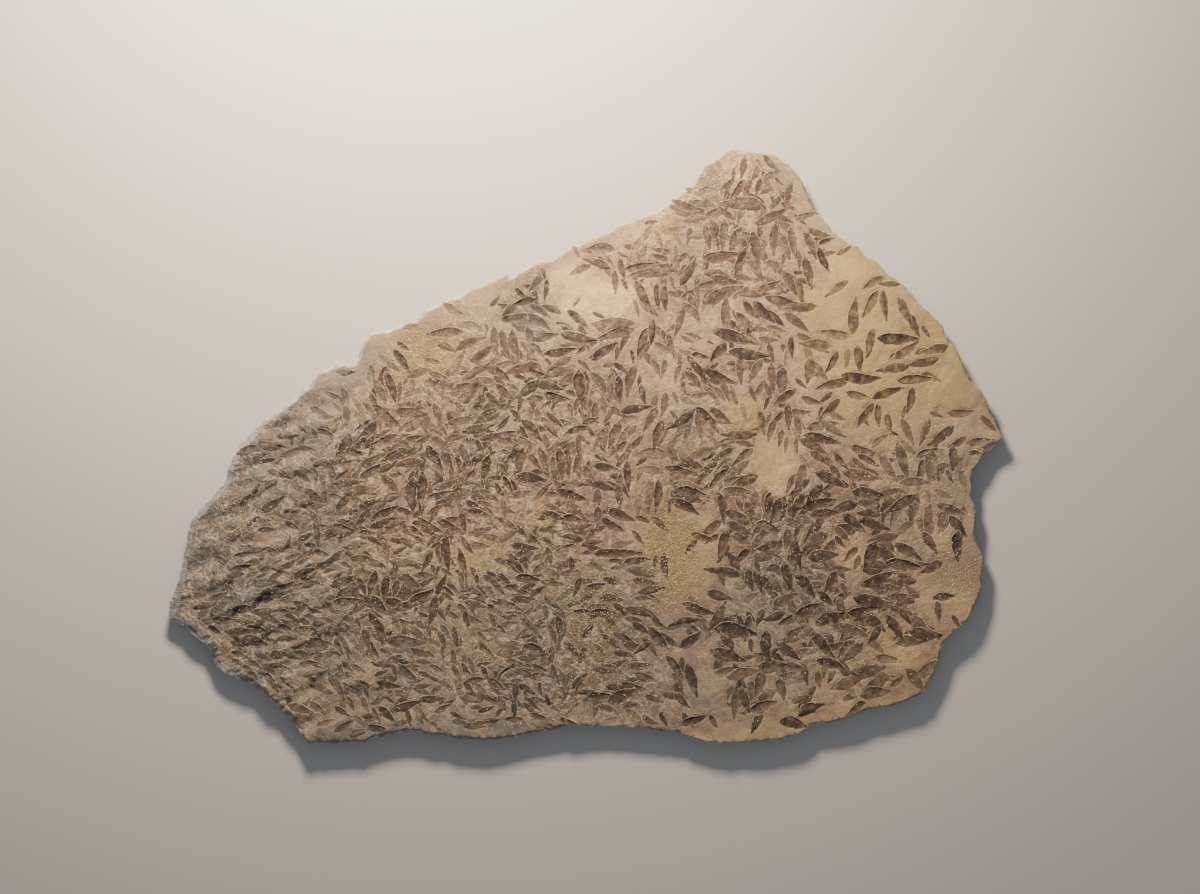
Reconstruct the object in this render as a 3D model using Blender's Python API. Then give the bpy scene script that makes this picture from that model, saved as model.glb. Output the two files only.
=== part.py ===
# Fossil fish plate: one slab of split limestone whose bedding face carries a shoal of small
# herring-like fish, each a shallow hollow. It lies flat, fish face up, on its underside.
# Frame: metres, +X towards the right-hand tip, +Y towards the peak, +Z up; the origin is the
# middle of the bounding box, on the underside.

import math

import bmesh
import bpy
import numpy as np
from mathutils import Vector, noise
from mathutils.geometry import delaunay_2d_cdt

MM = 0.001                  # the lists and dimensions below are in millimetres

# --- driving dimensions -------------------------------------------------------------------------
THICKNESS = 22.0            # usual height of the bedding face above the underside
EDGE_TOP = 15.0             # where the broken side wall starts, below the bedding face
EDGE_FOOT = 5.5             # where the side wall turns under
EDGE_ROUGH = 2.2            # how much both wall lines wander up and down
RIM_INSET = 4.5             # usual width of the broken bevel round the bedding face
FOOT_INSET = 3.5            # how far the underside stands back from the wall
TIP_INSET = 14.0            # the wide broken facets at the two tips
LEFT_TIP, LEFT_REACH = (-494.0, -190.0), 34.0
RIGHT_TIP, RIGHT_REACH = (484.0, -2.0), 20.0
SWELL = 0.8                 # slow swells of the bedding face
RUMPLE = 1.4                # height of the rumples at the left end
RUMPLE_PITCH = 38.0         # spacing of those rumples
RUMPLE_SLOPE = math.radians(25.0)
FISH_DEPTH = 1.4            # how deep a fish lies below the bedding face along its back
FISH_SLIMNESS = 0.27        # greatest body height over length
LONGEST_PLAIN = 33.0        # up to this length four corners and one ridge point are enough
BED_PITCH = 34.0            # spacing of the loose points between the fish
MERGE = 0.9                 # points closer than this are one
STONE = (0.52, 0.41, 0.28, 1.0)
STONE_ROUGHNESS = 0.9

# Corners of the slab's outline, counter-clockwise from the left-hand tip.
OUTLINE = [
    (-501, -203), (-498, -208.5), (-490, -212), (-481, -215.5), (-474, -223.5), (-463.5, -232),
    (-455.5, -237.5), (-450, -247), (-447, -257), (-440, -267), (-431, -272.5), (-415, -280),
    (-398.5, -286), (-388.5, -295.5), (-378.5, -304.5), (-364, -317.5), (-352.5, -330), (-343.5, -341.5),
    (-340, -350.5), (-333.5, -357), (-318, -357.5), (-299.5, -357), (-281, -355.5), (-264.5, -354.5),
    (-257, -351.5), (-241, -347.5), (-235.5, -346.5), (-224.5, -344), (-213.5, -341.5), (-199, -343.5),
    (-191.5, -346), (-169.5, -347.5), (-160.5, -350.5), (-144, -352), (-122, -353), (-100, -352),
    (-81.5, -348.5), (-63, -344), (-45, -341), (-28.5, -337), (-12, -335.5), (6.5, -337.5),
    (28.5, -335.5), (50.5, -338), (58, -340), (72.5, -338.5), (82, -340.5), (100, -343.5),
    (112, -342.5), (115.5, -346.5), (127.5, -351), (146, -356), (164.5, -357.5), (183, -357),
    (201, -355), (219.5, -354), (236, -352.5), (250.5, -347.5), (266, -341), (270, -335),
    (283.5, -332.5), (300, -330.5), (315, -326), (328, -320), (339, -316), (350, -315),
    (364.5, -313), (381, -308), (392, -302.5), (401.5, -298.5), (410, -289.5), (416, -278.5),
    (420.5, -267.5), (426, -256.5), (427, -245.5), (430, -238), (433.5, -232.5), (440, -227),
    (447.5, -218), (458.5, -209.5), (464, -201.5), (468.5, -191.5), (473, -181), (476, -168.5),
    (477, -159), (478, -149), (478, -135), (475, -129), (470.5, -118.5), (467.5, -110.5),
    (466.5, -103.5), (468.5, -95.5), (469.5, -80), (467.5, -70.5), (463.5, -59.5), (465, -48.5),
    (463, -39), (466, -29), (472, -21), (477, -12.5), (486, -4.5), (495.5, 4),
    (500.5, 9.5), (501, 12), (498.5, 16), (494.5, 22), (490, 33), (486, 41),
    (484, 53), (478.5, 62), (473, 69.5), (463.5, 78), (458, 90), (451, 104.5),
    (447.5, 113.5), (443, 120), (436.5, 125.5), (432.5, 135.5), (429, 145), (421.5, 153),
    (410.5, 164), (401.5, 170.5), (396, 178), (390.5, 186), (381, 195), (372, 202),
    (363, 206.5), (355.5, 215.5), (348, 223), (337.5, 228), (326.5, 241), (314.5, 245.5),
    (302.5, 253), (295, 261), (286, 273), (275, 282.5), (270.5, 294.5), (265, 308),
    (258.5, 322), (251, 331), (243, 340), (233, 345.5), (228, 350), (220, 352),
    (201.5, 353), (196, 354.5), (185, 355.5), (175, 357.5), (168.5, 354.5), (161, 348.5),
    (154, 341), (144.5, 338.5), (138, 330), (134.5, 322), (131, 314.5), (120.5, 308),
    (110.5, 300), (100.5, 293.5), (93.5, 287), (78, 280), (63.5, 274), (53.5, 269),
    (45, 268), (37.5, 263), (23, 255.5), (8.5, 249.5), (-3, 244.5), (-14, 240),
    (-21, 238), (-30.5, 231.5), (-39.5, 224.5), (-50.5, 221.5), (-63.5, 219), (-74.5, 212.5),
    (-88, 202), (-95.5, 207.5), (-109.5, 201), (-120.5, 196), (-139, 189), (-150, 181.5),
    (-169.5, 174.5), (-184, 167.5), (-192.5, 163), (-199, 155.5), (-209, 148), (-219, 146.5),
    (-237.5, 139), (-250, 138.5), (-257.5, 135.5), (-263, 129), (-269.5, 122.5), (-271.5, 114.5),
    (-273, 107), (-278, 98), (-290.5, 99.5), (-300, 97.5), (-311, 92.5), (-320, 89.5),
    (-329, 81.5), (-331, 74), (-342, 65.5), (-349.5, 57.5), (-358.5, 49), (-369.5, 41.5),
    (-380.5, 35.5), (-392, 26), (-399, 18), (-408, 9), (-415, 4.5), (-420.5, -5),
    (-426, -17.5), (-430.5, -30.5), (-432.5, -40.5), (-441, -52.5), (-450, -61), (-461, -73),
    (-474, -87.5), (-477.5, -100.5), (-479, -113), (-482, -129.5), (-486.5, -148), (-490.5, -166.5),
    (-493, -174), (-498.5, -181.5), (-500.5, -192),
]

# Fish, by the part of the plate they lie on: snout x, snout y, tail x, tail y.
FISH = [
    # peak
    (216, 287, 160, 291), (203, 268, 243, 287), (228, 267, 226, 230), (200, 258, 208, 214),
    (188, 256, 213, 241), (167, 273, 164, 234), (152, 272, 159, 239), (178, 259, 173, 234),
    (120, 271, 146, 275), (214, 322, 234, 331), (190, 320, 175, 300), (228, 279, 248, 270),
    (247, 316, 242, 290), (268, 262, 292, 254), (246, 262, 250, 232), (262, 256, 276, 226),
    (176, 305, 168, 284), (186, 262, 178, 238),
    # top
    (141, 226, 186, 231), (192, 238, 178, 202), (129, 230, 122, 204), (114, 194, 132, 226),
    (143, 209, 174, 203), (141, 172, 189, 192), (196, 190, 160, 184), (202, 174, 226, 150),
    (216, 180, 256, 172), (277, 169, 238, 166), (238, 210, 253, 183), (219, 203, 240, 185),
    (152, 139, 200, 125), (174, 132, 206, 124), (169, 178, 166, 144), (181, 160, 200, 142),
    (116, 170, 107, 134), (118, 171, 137, 150), (124, 182, 133, 161), (217, 163, 238, 144),
    (240, 160, 267, 139), (247, 132, 248, 108), (168, 124, 151, 104), (208, 130, 230, 128),
    (206, 188, 232, 199), (172, 115, 220, 109), (127, 103, 144, 80), (141, 94, 182, 76),
    (163, 78, 172, 56), (185, 107, 187, 76), (212, 104, 196, 78), (223, 100, 226, 66),
    (237, 94, 236, 62), (251, 66, 228, 51), (120, 90, 138, 70), (142, 72, 158, 56),
    (100, 135, 106, 110), (176, 206, 200, 199), (152, 203, 184, 196), (46, 213, 86, 221),
    (100, 207, 52, 205), (60, 199, 80, 161), (86, 195, 88, 167), (93, 194, 96, 165),
    (35, 210, 36, 186), (29, 214, -2, 225), (34, 237, 2, 237), (59, 148, 12, 149),
    (22, 138, 46, 142), (-30, 136, 14, 128), (-21, 163, 4, 141), (8, 104, 38, 124),
    (58, 141, 14, 129), (66, 250, 54, 228), (74, 142, 63, 106), (80, 152, 78, 124),
    (84, 124, 103, 112), (80, 106, 90, 84), (60, 98, 50, 60), (40, 84, 42, 54),
    (33, 88, 31, 56), (7, 90, 30, 62), (30, 122, 6, 108), (67, 74, 72, 52),
    # right
    (263, 228, 271, 189), (280, 238, 292, 211), (314, 199, 289, 181), (320, 134, 325, 180),
    (350, 186, 333, 156), (357, 188, 361, 152), (376, 178, 390, 148), (390, 158, 400, 134),
    (318, 133, 279, 139), (296, 121, 257, 124), (350, 130, 400, 129), (345, 141, 338, 108),
    (370, 106, 399, 126), (388, 97, 348, 91), (424, 106, 385, 98), (374, 79, 418, 82),
    (307, 86, 354, 83), (318, 80, 276, 69), (314, 65, 340, 59), (344, 58, 382, 70),
    (392, 70, 386, 42), (271, 106, 266, 78), (302, 113, 288, 90), (326, 121, 330, 90),
    (304, 56, 282, 34), (345, 52, 326, 24), (351, 50, 352, 26), (281, 33, 312, 12),
    (262, 14, 306, 4), (412, 34, 401, 2), (442, 25, 411, 2), (380, 33, 393, 4),
    (458, 5, 490, 8), (398, -12, 426, -4), (416, -3, 414, -42), (441, 0, 441, -28),
    (374, 4, 387, -39), (352, -10, 374, -42), (318, 0, 350, -9), (299, -8, 314, -26),
    (276, -31, 311, -49), (308, -30, 352, -38), (378, -44, 412, -43), (396, -58, 360, -79),
    (320, -54, 360, -60), (326, -68, 296, -77), (310, -82, 332, -97), (328, -87, 364, -99),
    (398, -56, 390, -96), (413, -70, 408, -98), (430, -78, 424, -102), (422, -70, 454, -81),
    (438, -84, 456, -106), (447, -102, 447, -137), (375, -106, 340, -112), (404, -104, 420, -126),
    (371, -116, 403, -136), (348, -114, 334, -149), (360, -140, 402, -145), (427, -138, 404, -150),
    (331, -167, 370, -150), (344, 0, 362, 14), (436, 41, 464, 43), (362, 40, 366, 16),
    (314, 118, 312, 96), (268, 124, 290, 114), (276, 100, 290, 80), (328, -10, 350, -22),
    (450, -30, 456, -52), (448, -10, 450, -34), (296, -22, 306, -44), (416, -6, 424, -40),
    (372, -60, 396, -70),
    # lower right
    (322, -181, 366, -188), (316, -200, 350, -193), (276, -214, 312, -200), (305, -213, 340, -228),
    (273, -222, 298, -252), (278, -257, 312, -268), (354, -216, 340, -235), (290, -242, 311, -236),
    (332, -236, 310, -256), (316, -270, 360, -264), (300, -290, 332, -278), (344, -168, 382, -171),
    (394, -186, 364, -180), (361, -203, 381, -232), (388, -221, 428, -226), (418, -182, 442, -179),
    (422, -186, 424, -208), (372, -236, 408, -234), (280, -174, 296, -190), (330, -299, 366, -294),
    (256, -322, 284, -309), (390, -206, 412, -224), (372, -192, 398, -178), (262, -20, 252, -50),
    (262, -56, 249, -84), (283, -46, 266, -68), (260, -74, 302, -64), (290, -104, 262, -122),
    (268, -134, 302, -130), (251, -112, 258, -144), (253, -154, 274, -180), (252, -202, 284, -188),
    (226, -190, 252, -177), (238, -199, 216, -207), (203, -150, 211, -173), (212, -156, 224, -179),
    (221, -152, 236, -176), (238, -138, 247, -174), (200, -137, 234, -126), (229, -114, 206, -123),
    (188, -154, 142, -147), (171, -118, 159, -138), (170, -102, 160, -130), (128, -104, 150, -110),
    (155, -219, 206, -226), (109, -210, 136, -207), (117, -188, 154, -200), (148, -220, 168, -186),
    (113, -240, 137, -223), (150, -244, 192, -257), (212, -232, 222, -257), (230, -236, 256, -255),
    (208, -264, 242, -262), (170, -277, 208, -268), (182, -288, 178, -326), (187, -290, 196, -317),
    (212, -270, 204, -298), (198, -316, 228, -306), (212, -322, 200, -342), (116, -333, 144, -323),
    (122, -260, 134, -300), (98, -252, 116, -276), (250, -252, 272, -244), (238, -262, 262, -266),
    (233, -278, 238, -302), (262, -262, 266, -284), (268, -238, 292, -228), (322, -233, 304, -252),
    (338, -228, 356, -246), (300, -150, 288, -172), (216, -52, 217, -88), (222, -56, 220, -84),
    (233, -62, 222, -94), (238, -60, 234, -86), (205, -54, 200, -80), (193, -66, 200, -92),
    (168, -80, 192, -85), (244, -62, 246, -84), (160, -56, 166, -92), (170, -92, 196, -104),
    (206, -92, 232, -104), (270, -82, 302, -79), (240, -88, 262, -96), (176, -106, 196, -116),
    (244, -100, 240, -124), (300, -96, 316, -112), (304, -182, 310, -206), (256, -146, 276, -156),
    (344, -270, 368, -280), (350, -252, 376, -256), (108, -296, 124, -312), (260, -214, 280, -228),
    # middle right
    (131, 45, 97, 21), (129, 42, 120, 5), (126, 38, 106, 8), (134, 42, 139, 8),
    (132, 46, 156, 27), (140, 34, 160, 17), (150, 47, 171, 32), (206, 16, 162, 15),
    (178, 8, 156, 3), (152, -1, 121, -14), (177, -3, 150, -19), (200, -3, 176, -24),
    (196, -16, 165, -41), (188, -22, 160, -46), (206, -36, 177, -45), (96, -24, 132, -31),
    (102, -45, 140, -50), (106, -52, 148, -60), (102, -57, 142, -67), (102, -64, 135, -81),
    (168, -51, 198, -54), (258, 9, 288, -8), (243, 50, 244, 22), (252, 36, 256, 12),
    (228, 30, 220, 8), (209, 43, 214, 16), (266, 22, 302, 28), (270, -6, 288, -20),
    (246, 44, 268, 42), (102, 8, 104, -18), (100, -30, 136, -40), (112, -20, 134, -34),
    (170, -28, 148, -50), (182, -64, 200, -80), (260, 60, 282, 52), (96, 64, 92, 40),
    # middle
    (-76, 32, -53, 7), (-98, 12, -60, 1), (-82, -2, -97, -20), (-76, -2, -80, -36),
    (-82, -34, -48, -40), (-81, -42, -49, -47), (-38, -8, -36, -46), (-32, -2, -28, -40),
    (-22, 0, -20, -38), (-20, 8, -44, -4), (-22, 17, 2, 24), (-46, 40, -28, 24),
    (12, 52, 10, 28), (26, 23, 10, -3), (40, 30, 28, -2), (48, 6, 31, -9),
    (60, 25, 38, 2), (50, -18, 52, -53), (39, -46, 42, -72), (100, -9, 57, -11),
    (86, 47, 70, 19), (92, 31, 82, -2), (42, 41, 78, 48), (10, -22, 36, -26),
    (2, -40, 36, -52), (-32, -44, 6, -46), (-34, -52, 4, -64), (-60, -62, -44, -46),
    (-50, -66, -30, -76), (-50, -80, -28, -86), (-30, -86, -6, -88), (-20, -62, 0, -88),
    (26, -77, 58, -88), (20, -87, 46, -101), (80, -38, 75, -80), (87, -40, 84, -78),
    (80, -84, 98, -100), (14, -72, 14, -96), (-8, 92, -6, 52), (-57, 80, -84, 60),
    (-60, 76, -28, 69), (-50, 64, -20, 58), (-54, 98, -98, 87), (-17, 107, -46, 90),
    (-14, 93, -52, 83), (-50, 112, -12, 118), (-66, 170, -44, 156), (-68, 158, -44, 142),
    (-100, 152, -70, 159), (-62, 178, -86, 171), (-46, 200, -49, 178), (-102, 140, -91, 108),
    (-88, 140, -80, 104), (-70, 144, -62, 108), (-106, 74, -87, 58), (30, 48, 50, 36),
    (-50, 28, -34, 12), (-6, -8, -14, -30), (-56, -2, -46, -30), (-100, -62, -96, -84),
    (-90, -60, -66, -54), (-66, -44, -46, -56), (-106, -113, -84, -102), (-88, -118, -58, -122),
    (-84, -157, -52, -162), (-90, -166, -68, -176), (9, -128, 50, -124), (46, -141, 76, -136),
    (38, -130, 70, -129), (52, -146, 82, -156), (64, -174, 94, -170), (0, -171, 22, -165),
    (18, -181, 44, -184), (48, -193, 78, -203), (4, -202, 34, -200), (-33, -204, -32, -228),
    (-78, -204, -52, -231), (-74, -238, -46, -250), (-106, -240, -82, -242), (34, -224, 58, -236),
    (57, -212, 76, -224), (76, -217, 98, -241), (94, -128, 98, -157), (58, -160, 84, -164),
    (-4, -112, -28, -108), (-12, -118, -36, -126), (-46, -120, -42, -142), (-16, -98, 6, -94),
    (4, -104, 26, -94), (-44, -214, -36, -236), (-100, -278, -64, -268), (-86, -304, -86, -326),
    (4, -299, 28, -298), (28, -306, 58, -292), (40, -286, 72, -291), (52, -262, 80, -262),
    (-40, -262, -32, -284), (14, -312, 36, -316), (60, -272, 84, -280), (-2, -280, -12, -300),
    (-30, -300, -50, -290), (24, -262, 44, -272), (34, -246, 56, -252),
    # left
    (-230, 116, -212, 90), (-147, 138, -190, 135), (-156, 116, -120, 131), (-150, 148, -122, 139),
    (-138, 103, -111, 122), (-148, 80, -114, 101), (-254, 80, -240, 54), (-240, 89, -228, 54),
    (-212, 85, -186, 92), (-188, 90, -164, 80), (-182, 79, -154, 70), (-158, 70, -126, 73),
    (-132, 52, -112, 66), (-284, 15, -295, -19), (-264, 11, -283, -6), (-252, 30, -276, 6),
    (-224, 13, -256, 3), (-288, 50, -286, 24), (-255, 50, -222, 23), (-190, 38, -240, 45),
    (-203, 44, -172, 14), (-206, 3, -186, 15), (-190, 1, -172, -26), (-184, 12, -161, -8),
    (-136, 34, -166, 28), (-147, 18, -109, 26), (-126, 9, -98, 16), (-150, 3, -138, -25),
    (-116, -11, -124, -42), (-212, -4, -245, -18), (-272, -23, -245, -9), (-196, -17, -230, -22),
    (-248, -30, -228, -18), (-291, -56, -251, -50), (-302, -44, -270, -42), (-279, -77, -246, -62),
    (-256, -86, -226, -72), (-207, -38, -208, -78), (-196, -30, -199, -78), (-181, -50, -155, -40),
    (-190, -62, -162, -54), (-172, -61, -129, -53), (-140, -76, -118, -82), (-178, -87, -156, -96),
    (-150, -80, -145, -102), (-258, -98, -228, -86), (-126, -52, -106, -64), (-243, -114, -238, -140),
    (-236, -137, -196, -141), (-168, -106, -164, -148), (-150, -126, -144, -152), (-180, -179, -188, -214),
    (-240, -232, -192, -235), (-211, -216, -190, -233), (-231, -202, -223, -223), (-266, -218, -262, -246),
    (-252, -150, -260, -178), (-238, -156, -242, -184), (-220, -154, -198, -170), (-273, -158, -264, -178),
    (-256, -180, -240, -196), (-228, -195, -200, -188), (-212, -186, -184, -172), (-260, -198, -240, -229),
    (-281, -134, -249, -138), (-184, -127, -196, -148), (-306, -167, -275, -155), (-301, -186, -270, -184),
    (-240, -96, -218, -90), (-122, -106, -100, -112), (-144, -186, -120, -192), (-158, -216, -154, -240),
    (-128, 34, -106, 46), (-222, 78, -224, 56), (-200, 72, -208, 50),
    # lower left
    (-390, -176, -352, -165), (-470, -194, -440, -187), (-413, -230, -381, -238), (-432, -221, -400, -220),
    (-336, -231, -306, -236), (-400, -199, -370, -197), (-386, -272, -370, -292), (-338, -275, -314, -270),
    (-308, -272, -290, -302), (-330, -285, -306, -295), (-356, -310, -330, -318), (-349, -156, -328, -147),
    (-410, -126, -382, -121), (-389, -78, -364, -61), (-389, -50, -369, -39), (-349, -2, -326, -4),
    (-394, 3, -362, 0), (-370, 12, -346, 13), (-322, -86, -320, -122), (-306, -94, -280, -100),
    (-250, -282, -224, -287), (-223, -262, -200, -280), (-232, -315, -198, -305), (-247, -312, -230, -328),
    (-198, -303, -172, -302), (-204, -310, -190, -328), (-262, -336, -238, -340), (-300, -340, -279, -328),
    (-452, -186, -430, -176), (-446, -206, -420, -208), (-386, -214, -364, -222), (-352, -222, -330, -216),
    (-320, -206, -298, -212), (-326, -252, -300, -246), (-396, -246, -376, -256), (-344, -262, -322, -260),
    (-420, -208, -398, -210), (-366, -184, -344, -176), (-426, -148, -402, -142), (-150, -300, -128, -306),
]


def clear_scene():
    for old in list(bpy.data.objects):
        bpy.data.objects.remove(old, do_unlink=True)


# --- plan geometry ------------------------------------------------------------------------------
def edge_distance(points, ring):
    """Distance of each point to the closed ring, and the place along it as a corner number."""
    ends = np.roll(ring, -1, axis=0)
    best = np.full(len(points), 1e9)
    place = np.zeros(len(points))
    for i, (a, b) in enumerate(zip(ring, ends)):
        along = np.clip((points - a) @ (b - a) / ((b - a) @ (b - a)), 0.0, 1.0)
        gap = np.linalg.norm(points - (a + along[:, None] * (b - a)), axis=1)
        nearer = gap < best
        best[nearer] = gap[nearer]
        place[nearer] = i + along[nearer]
    return best, place


def inside(points, ring):
    """Even-odd test of each point against the closed ring."""
    x, y = points[:, 0], points[:, 1]
    hit = np.zeros(len(points), bool)
    for (ax, ay), (bx, by) in zip(ring, np.roll(ring, -1, axis=0)):
        crosses = (ay > y) != (by > y)
        with np.errstate(divide="ignore", invalid="ignore"):
            hit ^= crosses & (x < ax + (y - ay) * (bx - ax) / (by - ay))
    return hit


def inward_ring(ring, width):
    """The ring moved inwards by a width that may differ at each corner."""
    chord = np.roll(ring, -1, axis=0) - np.roll(ring, 1, axis=0)
    normal = np.stack([-chord[:, 1], chord[:, 0]], axis=1)
    return ring + normal / np.linalg.norm(normal, axis=1)[:, None] * np.asarray(width)[:, None]


def wander(points, size, seed):
    """Smooth noise from -1 to 1 at each point."""
    return np.array([noise.noise((x / size, y / size, seed)) for x, y in points])


# --- the slab's surfaces ------------------------------------------------------------------------
def bed_height(points):
    """Height of the bedding face without its fish."""
    x, y = points[:, 0], points[:, 1]
    swell = np.sin(x / 150.0 + 0.6) * np.cos(y / 120.0 - 0.4) + 0.5 * np.sin((x + 2.0 * y) / 88.0)
    across = y * math.cos(RUMPLE_SLOPE) - x * math.sin(RUMPLE_SLOPE)
    left_end = np.clip((-230.0 - x) / 120.0, 0.0, 1.0)
    rumples = left_end * np.sin(across * 2.0 * math.pi / RUMPLE_PITCH)
    return THICKNESS + SWELL * swell + RUMPLE * rumples


def rim_width(ring):
    """Width of the broken bevel at each corner of the outline."""
    width = RIM_INSET + 2.0 * wander(ring, 30.0, 1.0)
    for tip, reach in ((LEFT_TIP, LEFT_REACH), (RIGHT_TIP, RIGHT_REACH)):
        near = np.clip(1.0 - np.linalg.norm(ring - tip, axis=1) / reach, 0.0, 1.0)
        width += (TIP_INSET - RIM_INSET) * np.sqrt(near)
    return width


def fish_frames(fish):
    """Head point, unit axis, length and half height of each fish."""
    rows = np.array(fish, float)
    head, tail = rows[:, :2], rows[:, 2:]
    length = np.linalg.norm(tail - head, axis=1)
    return head, (tail - head) / length[:, None], length, 0.5 * FISH_SLIMNESS * length


def body_share(u):
    """Half height of the body, as a share of its greatest, along the length 0 to 1."""
    return np.interp(u, [0.0, 0.3, 0.64, 1.0], [0.0, 1.0, 0.72, 0.0])


def fish_hollow(points, fish):
    """How far each point lies below the bedding face because of the fish over it."""
    head, axis, length, half = fish_frames(fish)
    depth = np.zeros(len(points))
    for h, a, size, wide in zip(head, axis, length, half):
        offset = points - h
        u = offset @ a / size
        v = np.abs(offset @ np.array([-a[1], a[0]]))
        reach = np.maximum(wide * body_share(u), 1e-6)
        depth = np.maximum(depth, FISH_DEPTH * np.clip(1.0 - v / reach, 0.0, 1.0) * (u > 0) * (u < 1))
    return depth


def fish_plan(row):
    """Corners of one fish in plan and, after them, the points along its back."""
    head, axis, length, half = (part[0] for part in fish_frames([row]))
    side = np.array([-axis[1], axis[0]])
    stations = [0.3] if length < LONGEST_PLAIN else [0.3, 0.64]
    upper = [head + axis * length * u + side * half * body_share(u) for u in stations]
    lower = [head + axis * length * u - side * half * body_share(u) for u in reversed(stations)]
    back = [head + axis * length * u for u in stations]
    return [head, *upper, head + axis * length, *lower], back


# --- mesh ---------------------------------------------------------------------------------------
def triangulate(points, edges):
    """Plan triangulation that keeps every edge; crossings get a point of their own."""
    found = delaunay_2d_cdt([Vector(p) for p in points], edges, [], 0, MERGE, False)
    return np.array([tuple(p) for p in found[0]]), [tuple(face) for face in found[2]]


def loop_edges(start, count):
    """Edges of a closed loop of points that follow one another in the list."""
    return [(start + i, start + (i + 1) % count) for i in range(count)]


def kept_faces(points, faces, ring):
    """Faces inside the ring, counter-clockwise seen from above."""
    corners = points[np.array(faces)]
    centre_in = inside(corners.mean(axis=1), ring)
    a, b = corners[:, 1] - corners[:, 0], corners[:, 2] - corners[:, 0]
    area = a[:, 0] * b[:, 1] - a[:, 1] * b[:, 0]
    return [f if area[i] > 0 else f[::-1] for i, f in enumerate(faces) if centre_in[i]]


def upper_face(ring, wall_top, fish):
    """Bedding face with its fish and the broken bevel down to the top of the side wall."""
    rim = rim_width(ring)
    points, edges = list(ring) + list(inward_ring(ring, rim)), loop_edges(0, len(ring))
    edges += loop_edges(len(ring), len(ring))
    for row in fish:
        corners, back = fish_plan(row)
        edges += loop_edges(len(points), len(corners))
        if len(back) > 1:
            edges.append((len(points) + len(corners), len(points) + len(corners) + 1))
        points += corners + back
    points += loose_points(ring, fish)
    plan, faces = triangulate(points, edges)
    faces = kept_faces(plan, faces, ring)
    gap, place = edge_distance(plan, ring)
    wall = np.interp(place, np.arange(len(ring) + 1), np.append(wall_top, wall_top[0]))
    width = np.interp(place, np.arange(len(ring) + 1), np.append(rim, rim[0]))
    top = bed_height(plan) - fish_hollow(plan, fish)
    share = np.clip(gap / width, 0.0, 1.0)
    return np.column_stack([plan, wall + (top - wall) * share]), faces


def loose_points(ring, fish):
    """Points between the fish, so that the bare bedding face can swell."""
    low, high = ring.min(axis=0), ring.max(axis=0)
    grid = np.array([(x + BED_PITCH * 0.5 * (j % 2), y)
                     for j, y in enumerate(np.arange(low[1], high[1], BED_PITCH * 0.87))
                     for x in np.arange(low[0], high[0], BED_PITCH)])
    bare = inside(grid, ring) & (edge_distance(grid, ring)[0] > 2.0 * TIP_INSET)
    return list(grid[bare & (fish_hollow(grid, fish) == 0.0)])


def lower_face(ring, wall_foot):
    """Flat underside and the chamfer up to the foot of the side wall."""
    inset = FOOT_INSET + 1.2 * wander(ring, 24.0, 7.0)
    plan, faces = triangulate(list(ring) + list(inward_ring(ring, inset)),
                              loop_edges(0, len(ring)) + loop_edges(len(ring), len(ring)))
    gap, place = edge_distance(plan, ring)
    foot = np.interp(place, np.arange(len(ring) + 1), np.append(wall_foot, wall_foot[0]))
    height = np.where(gap < 0.5, foot, 0.0)
    return np.column_stack([plan, height]), [f[::-1] for f in kept_faces(plan, faces, ring)]


def plate_mesh(ring, fish):
    """The two faces in one mesh, with the side wall bridged between them."""
    wall_top = EDGE_TOP + EDGE_ROUGH * wander(ring, 22.0, 3.0)
    wall_foot = EDGE_FOOT + EDGE_ROUGH * wander(ring, 26.0, 5.0)
    upper, upper_faces = upper_face(ring, wall_top, fish)
    lower, lower_faces = lower_face(ring, wall_foot)
    mesh = bmesh.new()
    for points, faces in ((upper, upper_faces), (lower, lower_faces)):
        corners = [mesh.verts.new(Vector(p) * MM) for p in points]
        for face in faces:
            mesh.faces.new([corners[i] for i in face])
    bmesh.ops.delete(mesh, geom=[v for v in mesh.verts if not v.link_faces], context="VERTS")
    rims = [e for e in mesh.edges if e.is_boundary]
    bmesh.ops.bridge_loops(mesh, edges=rims)
    bmesh.ops.triangulate(mesh, faces=[f for f in mesh.faces if len(f.verts) > 3])
    bmesh.ops.recalc_face_normals(mesh, faces=mesh.faces)
    return mesh


def stone_material():
    material = bpy.data.materials.new("limestone")
    material.use_nodes = True
    shader = material.node_tree.nodes["Principled BSDF"]
    shader.inputs["Base Color"].default_value = STONE
    shader.inputs["Roughness"].default_value = STONE_ROUGHNESS
    shader.inputs["Metallic"].default_value = 0.0
    return material


def build():
    clear_scene()
    built = plate_mesh(np.array(OUTLINE, float), FISH)
    data = bpy.data.meshes.new("fossil_plate")
    built.to_mesh(data)
    built.free()
    data.materials.append(stone_material())
    plate = bpy.data.objects.new("fossil_plate", data)
    bpy.context.scene.collection.objects.link(plate)


build()
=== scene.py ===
# Fossil fish plate: the visible stone and its shoal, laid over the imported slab.
# Everything below is in millimetres until a mesh is made: +x to the right-hand tip, +y to the peak.
import math
from functools import partial

import bpy
import numpy as np
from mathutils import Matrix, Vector, noise
from mathutils.geometry import delaunay_2d_cdt


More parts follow.
